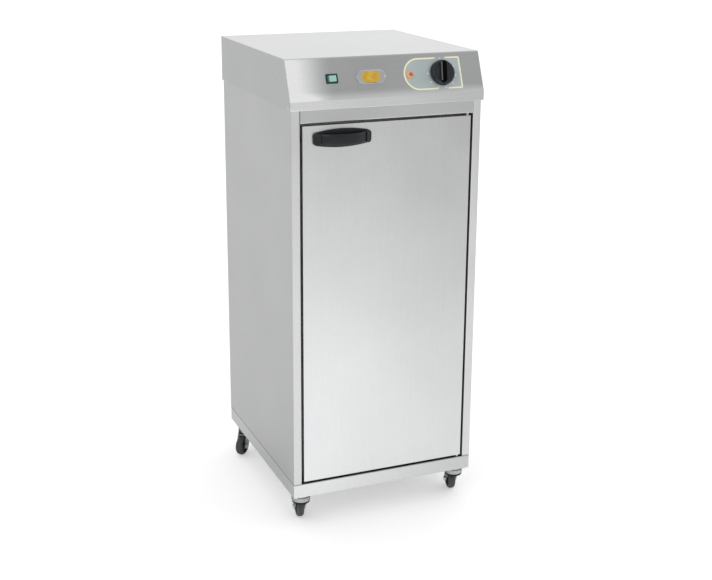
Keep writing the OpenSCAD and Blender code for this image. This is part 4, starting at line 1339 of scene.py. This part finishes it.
def make_wheel(corner):
    place = wheel_frame(corner)
    tread = []
    half = TYRE_HALF
    turn_r = TYRE_SHOULDER * half
    middle_r = TYRE_R - turn_r
    for a in range(90, -1, -10):
        t = math.radians(a)
        tread.append((middle_r + turn_r * math.cos(t), half - turn_r + turn_r * math.sin(t)))
    for groove in (GROOVE_AT, -GROOVE_AT):
        tread += [(TYRE_R, groove + 0.5), (GROOVE_R, groove + 0.3)]
        tread += [(GROOVE_R, groove - 0.3), (TYRE_R, groove - 0.5)]
    for a in range(0, -91, -10):
        t = math.radians(a)
        tread.append((middle_r + turn_r * math.cos(t), turn_r - half + turn_r * math.sin(t)))
    tread += [(TYRE_INNER_R, -half), (TYRE_INNER_R, half)]
    tyre = turned("tread_" + corner, tread, place, 72, 35)
    dress(tyre, "tyre_" + corner, "tread")
    core = turned("rim_" + corner, WHEEL_WEB, place, 64, 35)
    dress(core, "core_" + corner, "core")


def make_painted_shade_ring(corner):
    """Black ring that hangs under a fork's crown, a dark piece that paints in the shade between the
    crown and the wheel.
    """
    x, y = SWIVEL[corner]["pos_m"][:2]
    centre = Vector((x, y, 0))
    low = box_corners("tyre_" + corner)[1].z + 0.8 * MM
    high = box_corners("fork_" + corner)[1].z - 1.5 * MM
    ring = [(SHADE_RING_INNER, low + 1 * MM), *((foot, low) for foot in SHADE_RING_FOOT)]
    ring += [(SHADE_RING_OUTER, low + 0.8 * MM), (SHADE_RING_OUTER, high), (SHADE_RING_INNER, high)]
    bm = bmesh.new()
    lathe(bm, [(r * MM, z) for r, z in ring], Matrix.Translation(centre), 64)
    guard = from_bmesh("painted_shade_ring_" + corner, bm, 35)
    dress(guard, "fork_" + corner, "guard", replaces=False)


for corner in CORNERS:
    make_wheel(corner)
    make_painted_shade_ring(corner)


# ---------- cavity ----------


SEAL_HIGH = 5.7
# (place across, height) over the seal's bead, in millimetres
SEAL_SECTION = [
    (0.0, 0.0), (0.0, 1.6), (0.6, 2.2), (2.2, 2.2), (2.8, 3.2), (3.6, 4.6), (4.8, 5.4),
    (6.0, SEAL_HIGH), (7.2, 5.5), (8.4, 4.6), (9.4, 3.2), (10.2, 2.2), (11.0, 1.6), (11.0, 0.0),
]  # fmt: skip


def make_seal():
    """Seal strip with a bead, mitred at the corners."""
    lo, hi = box_corners("door_seal")
    deep = hi.y - lo.y
    rings = []
    for across, out in SEAL_SECTION:
        u = across * MM
        y = hi.y - out * MM * deep / (SEAL_HIGH * MM)
        rings.append(
            [
                Vector((lo.x + u, y, lo.z + u)),
                Vector((hi.x - u, y, lo.z + u)),
                Vector((hi.x - u, y, hi.z - u)),
                Vector((lo.x + u, y, hi.z - u)),
            ]
        )
    bm = bmesh.new()
    loft(bm, rings + [rings[0]], closed=False)
    seal = from_bmesh("seal_strip", bm, 40)
    dress(seal, "door_seal", "rubber")


def shelf_tree():
    """Geometry tree: wire shelf of a bent rod frame, a cross rod and wires welded on top."""
    n, given, end = geometry_tree(
        "wire_shelf",
        [
            ("Width", "Float", 0.34),
            ("Depth", "Float", 0.4),
            ("Corner Radius", "Float", 0.012),
            ("Rod Radius", "Float", 0.003),
            ("Wire Radius", "Float", 0.002),
            ("Wire Count", "Int", 15),
            ("Wire Rise", "Float", 0.0046),
        ],
    )

    def ring(radius, sides):
        circle = n.add("GeometryNodeCurvePrimitiveCircle", {"Resolution": sides, "Radius": radius})
        return circle.outputs[0]

    def rod(start, stop, profile):
        line = n.add("GeometryNodeCurvePrimitiveLine", {"Start": start, "End": stop}).outputs[0]
        along = {"Curve": line, "Profile Curve": profile, "Fill Caps": True}
        return n.add("GeometryNodeCurveToMesh", along).outputs[0]

    rod_d = n.math("MULTIPLY", given["Rod Radius"], 2.0)
    width = n.math("SUBTRACT", given["Width"], rod_d)
    depth = n.math("SUBTRACT", given["Depth"], rod_d)
    outline = n.add(
        "GeometryNodeCurvePrimitiveQuadrilateral", {"Width": width, "Height": depth}
    ).outputs[0]
    corners = {"Curve": outline, "Radius": given["Corner Radius"], "Count": 6}
    bent = n.add("GeometryNodeFilletCurve", corners, mode="POLY").outputs[0]
    rod_ring = ring(given["Rod Radius"], 12)
    wire_ring = ring(given["Wire Radius"], 10)
    border = n.add("GeometryNodeCurveToMesh", {"Curve": bent, "Profile Curve": rod_ring}).outputs[0]
    half_w = n.math("MULTIPLY", width, 0.5)
    cross = rod(n.xyz(n.math("MULTIPLY", half_w, -1.0)), n.xyz(half_w), rod_ring)
    half_d = n.math("MULTIPLY", given["Depth"], 0.5)
    front = n.xyz(y=n.math("MULTIPLY", half_d, -1.0), z=given["Wire Rise"])
    wire = rod(front, n.xyz(y=half_d, z=given["Wire Rise"]), wire_ring)
    step = n.math("DIVIDE", width, n.math("ADD", given["Wire Count"], 1.0))
    spots = n.add(
        "GeometryNodeMeshLine",
        {
            "Count": given["Wire Count"],
            "Start Location": n.xyz(n.math("SUBTRACT", step, half_w)),
            "Offset": n.xyz(step),
        },
    ).outputs[0]
    wires = n.add("GeometryNodeInstanceOnPoints", {"Points": spots, "Instance": wire}).outputs[0]
    end(n.joined(border, cross, wires))
    return n.tree


def make_shelves():
    tree = shelf_tree()
    for node in ("shelf_lower", "shelf_upper"):
        lo, hi = box_corners(node)
        centre = (lo + hi) / 2
        rod_r = 3 * MM
        wire_r = 2 * MM
        shelf = grown(
            node.replace("shelf", "wire_shelf"),
            tree,
            {
                "Width": hi.x - lo.x,
                "Depth": hi.y - lo.y,
                "Corner Radius": 12 * MM,
                "Rod Radius": rod_r,
                "Wire Radius": wire_r,
                "Wire Count": 15,
                "Wire Rise": hi.z - lo.z - rod_r - wire_r,
                "Finish": FINISH["bright"],
            },
            Matrix.Translation((centre.x, centre.y, lo.z + rod_r)),
            50,
        )
        dress(shelf, node, "bright")


make_seal()
make_shelves()


# ---------- screws ----------


def screw_tree():
    """Geometry tree: domed head with a cross recess on every point, facing along an attribute."""
    n, given, end = geometry_tree(
        "cross_screws",
        [
            ("Head Radius", "Float", 0.0042),
            ("Head Height", "Float", 0.002),
            ("Recess Width", "Float", 0.0008),
            ("Shank Length", "Float", 0.008),
        ],
    )

    def moved_up(geometry, by):
        given_move = {"Geometry": geometry, "Translation": n.xyz(z=by)}
        return n.add("GeometryNodeTransform", given_move).outputs[0]

    head_r, head_h = given["Head Radius"], given["Head Height"]
    shank = given["Shank Length"]
    ball = n.add("GeometryNodeMeshUVSphere", {"Segments": 32, "Rings": 16, "Radius": head_r})
    squash = n.math("DIVIDE", head_h, head_r)
    spot = n.split(n.add("GeometryNodeInputPosition").outputs[0])
    height = n.math("MULTIPLY", n.math("MAXIMUM", spot["Z"], 0.0), squash)
    place = n.xyz(spot["X"], spot["Y"], height)
    dome = n.add(
        "GeometryNodeSetPosition", {"Geometry": ball.outputs["Mesh"], "Position": place}
    ).outputs[0]
    length = n.math("MULTIPLY", head_r, 1.15)
    blocks = []
    for a, b in ((length, given["Recess Width"]), (given["Recess Width"], length)):
        block = n.add("GeometryNodeMeshCube", {"Size": n.xyz(a, b, head_h)})
        blocks.append(block.outputs["Mesh"])
    cutter = moved_up(n.joined(*blocks), n.math("MULTIPLY", head_h, 0.95))
    recessed = n.add("GeometryNodeMeshBoolean", operation="DIFFERENCE")
    recessed.solver = "FLOAT"
    n.tree.links.new(dome, recessed.inputs[0])
    n.tree.links.new(cutter, recessed.inputs[1])
    shank_r = n.math("MULTIPLY", head_r, 0.45)
    rod = n.add("GeometryNodeMeshCylinder", {"Vertices": 16, "Radius": shank_r, "Depth": shank})
    lowered = moved_up(rod.outputs["Mesh"], n.math("MULTIPLY", shank, -0.5))
    way = n.add("GeometryNodeInputNamedAttribute", {"Name": "facing"}, data_type="FLOAT_VECTOR")
    turn = n.add("FunctionNodeAlignRotationToVector", {"Vector": way.outputs[0]}, axis="Z")
    copies = n.add(
        "GeometryNodeInstanceOnPoints",
        {
            "Points": given["Geometry"],
            "Instance": n.joined(recessed.outputs[0], lowered),
            "Rotation": turn.outputs[0],
        },
    )
    end(copies.outputs[0])
    return n.tree


SCREW_FROM_EDGE = 9 * MM
SCREW_FROM_END = 40 * MM
SCREW_OVER_FOOT = 5 * MM


def make_screws():
    """Skin screws: two on each side of the hood, three down each edge of the rear panel."""
    post_lo, post_hi = box_corners("side_panel_right")
    rear_lo, rear_hi = box_corners("rear_panel")
    hood_z = HOOD_LO.z + SCREW_OVER_FOOT
    rear_x = post_hi.x - SCREW_FROM_EDGE
    levels = (
        rear_lo.z + SCREW_FROM_END,
        (rear_lo.z + rear_hi.z) / 2,
        rear_hi.z - SCREW_FROM_END,
    )
    spots = []
    for side in (-1, 1):
        for y in (post_lo.y + SCREW_FROM_EDGE, rear_hi.y - SCREW_FROM_END):
            spots.append(((side * HOOD_HI.x, y, hood_z), (side, 0, 0)))
        for z in levels:
            spots.append(((side * rear_x, rear_hi.y, z), (0, 1, 0)))
    mesh = bpy.data.meshes.new("screw_spots")
    mesh.from_pydata([place for place, _ in spots], [], [])
    facing = mesh.attributes.new("facing", "FLOAT_VECTOR", "POINT")
    for i, (_, way) in enumerate(spots):
        facing.data[i].vector = way
    finish = {"Finish": FINISH["screw"]}
    screws = grown("skin_screws", screw_tree(), finish, smooth_angle=40, mesh=mesh)
    dress(screws, "panel_screws", "screw")


make_screws()


# ---------- floor, light and camera ----------

FLOOR_RADIUS = 60
FLOOR_DROP = 0.0005  # keeps the floor clear of the wheels
FLOOR_LIFT = 0.38  # light of its own that the floor shows to the camera
POOL_CENTRE = (-0.35, -0.9, 0.0)  # where the floor shines brightest into the front faces
POOL_CORE = 0.2
POOL_REACH = 3.6
POOL_LEVEL = 0.52
POOL_FADE = (-0.32, -0.05)  # from full to none under the cabinet, front to back
WORLD_LEFT = 0.72
WORLD_RIGHT = 1.0
WORLD_BACK = 1.2
WORLD_FRONT = 0.95
FLAG_TOWARDS = (0.42, -0.72, 0.55)  # a dim card up in the front right, seen in the fascia
FLAG_EDGE = (0.6, 0.97)  # cosines from its middle where the card ends and where it is full
FLAG_LEVEL = 0.85


def make_floor():
    bm = bmesh.new()
    bmesh.ops.create_circle(bm, cap_ends=True, segments=64, radius=FLOOR_RADIUS)
    floor = from_bmesh("floor", bm)
    floor.location.z = -FLOOR_DROP
    material, n, shader, coords = new_material("pale_floor")
    n.tree.nodes.remove(shader)
    output = n.tree.nodes["Material Output"]
    lit = n.add("ShaderNodeBsdfDiffuse", {"Color": (0.82, 0.82, 0.82, 1.0)}).outputs[0]
    path = n.add("ShaderNodeLightPath").outputs
    seen = n.math("MULTIPLY", path["Is Camera Ray"], FLOOR_LIFT)
    mirrored = n.math("MAXIMUM", path["Is Glossy Ray"], path["Is Transmission Ray"])
    away = n.vector("LENGTH", n.vector("SUBTRACT", coords, POOL_CENTRE))
    pool = n.spread(away, POOL_CORE, POOL_REACH, POOL_LEVEL, 0.0, smooth_step=True)
    before = n.spread(n.split(coords)["Y"], *POOL_FADE, 1.0, 0.0, smooth_step=True)
    pool = n.math("MULTIPLY", pool, before)
    glow_level = n.math("ADD", seen, n.math("MULTIPLY", mirrored, pool))
    glow = n.add("ShaderNodeEmission", {"Strength": glow_level}).outputs[0]
    n.set(output.inputs["Surface"], n.add("ShaderNodeAddShader", {0: lit, 1: glow}).outputs[0])
    floor.data.materials.append(material)


def make_world():
    world = bpy.data.worlds.new("studio")
    bpy.context.scene.world = world
    world.use_nodes = True
    n = Tree(world.node_tree)
    background = world.node_tree.nodes["Background"]
    path = n.add("ShaderNodeLightPath").outputs
    direction = n.add("ShaderNodeTexCoord").outputs["Generated"]
    parts = n.split(direction)
    across = n.spread(parts["X"], -1.0, 1.0, WORLD_LEFT, WORLD_RIGHT, smooth_step=True)
    deep = n.spread(parts["Y"], -1.0, 1.0, WORLD_FRONT, WORLD_BACK, smooth_step=True)
    flag = tuple(Vector(FLAG_TOWARDS).normalized())
    towards = n.vector("DOT_PRODUCT", direction, flag)
    shade = n.spread(towards, *FLAG_EDGE, 1.0, FLAG_LEVEL, smooth_step=True)
    level = n.math("MULTIPLY", n.math("MULTIPLY", across, deep), shade)
    strength = n.blend_levels(path["Is Camera Ray"], level, 1.0)
    n.set(background.inputs["Strength"], strength)
    background.inputs["Color"].default_value = (1.0, 1.0, 1.0, 1.0)


def area_light(name, place, target, size, power):
    data = bpy.data.lights.new(name, "AREA")
    data.shape = "RECTANGLE"
    data.size, data.size_y = size
    data.energy = power
    light = bpy.data.objects.new(name, data)
    light.location = place
    aim = Vector(target) - Vector(place)
    light.rotation_euler = aim.to_track_quat("-Z", "Y").to_euler()
    bpy.context.scene.collection.objects.link(light)
    light.visible_camera = False


def make_camera():
    data = bpy.data.cameras.new("camera")
    data.sensor_width = 36.0
    data.sensor_fit = "HORIZONTAL"
    data.lens = FOCAL_PX * data.sensor_width / PHOTO_W
    data.shift_x = (PHOTO_W / 2 - CENTRE_PX[0]) / PHOTO_W
    data.shift_y = (CENTRE_PX[1] - PHOTO_H / 2) / PHOTO_W
    camera = bpy.data.objects.new("camera", data)
    bpy.context.scene.collection.objects.link(camera)
    turn = (
        Matrix.Rotation(math.radians(-CAMERA_YAW), 4, "Z")
        @ Matrix.Rotation(math.radians(90 - CAMERA_PITCH), 4, "X")
        @ Matrix.Rotation(math.radians(-CAMERA_ROLL), 4, "Z")
    )
    camera.matrix_world = Matrix.Translation(CAMERA_AT) @ turn
    bpy.context.scene.camera = camera


make_floor()
make_world()
area_light(
    "left_softbox", place=(-2.4, -1.9, 2.5), target=(0, -0.1, 0.8), size=(1.2, 1.2), power=8
)
make_camera()
bpy.context.scene.view_settings.view_transform = "Standard"
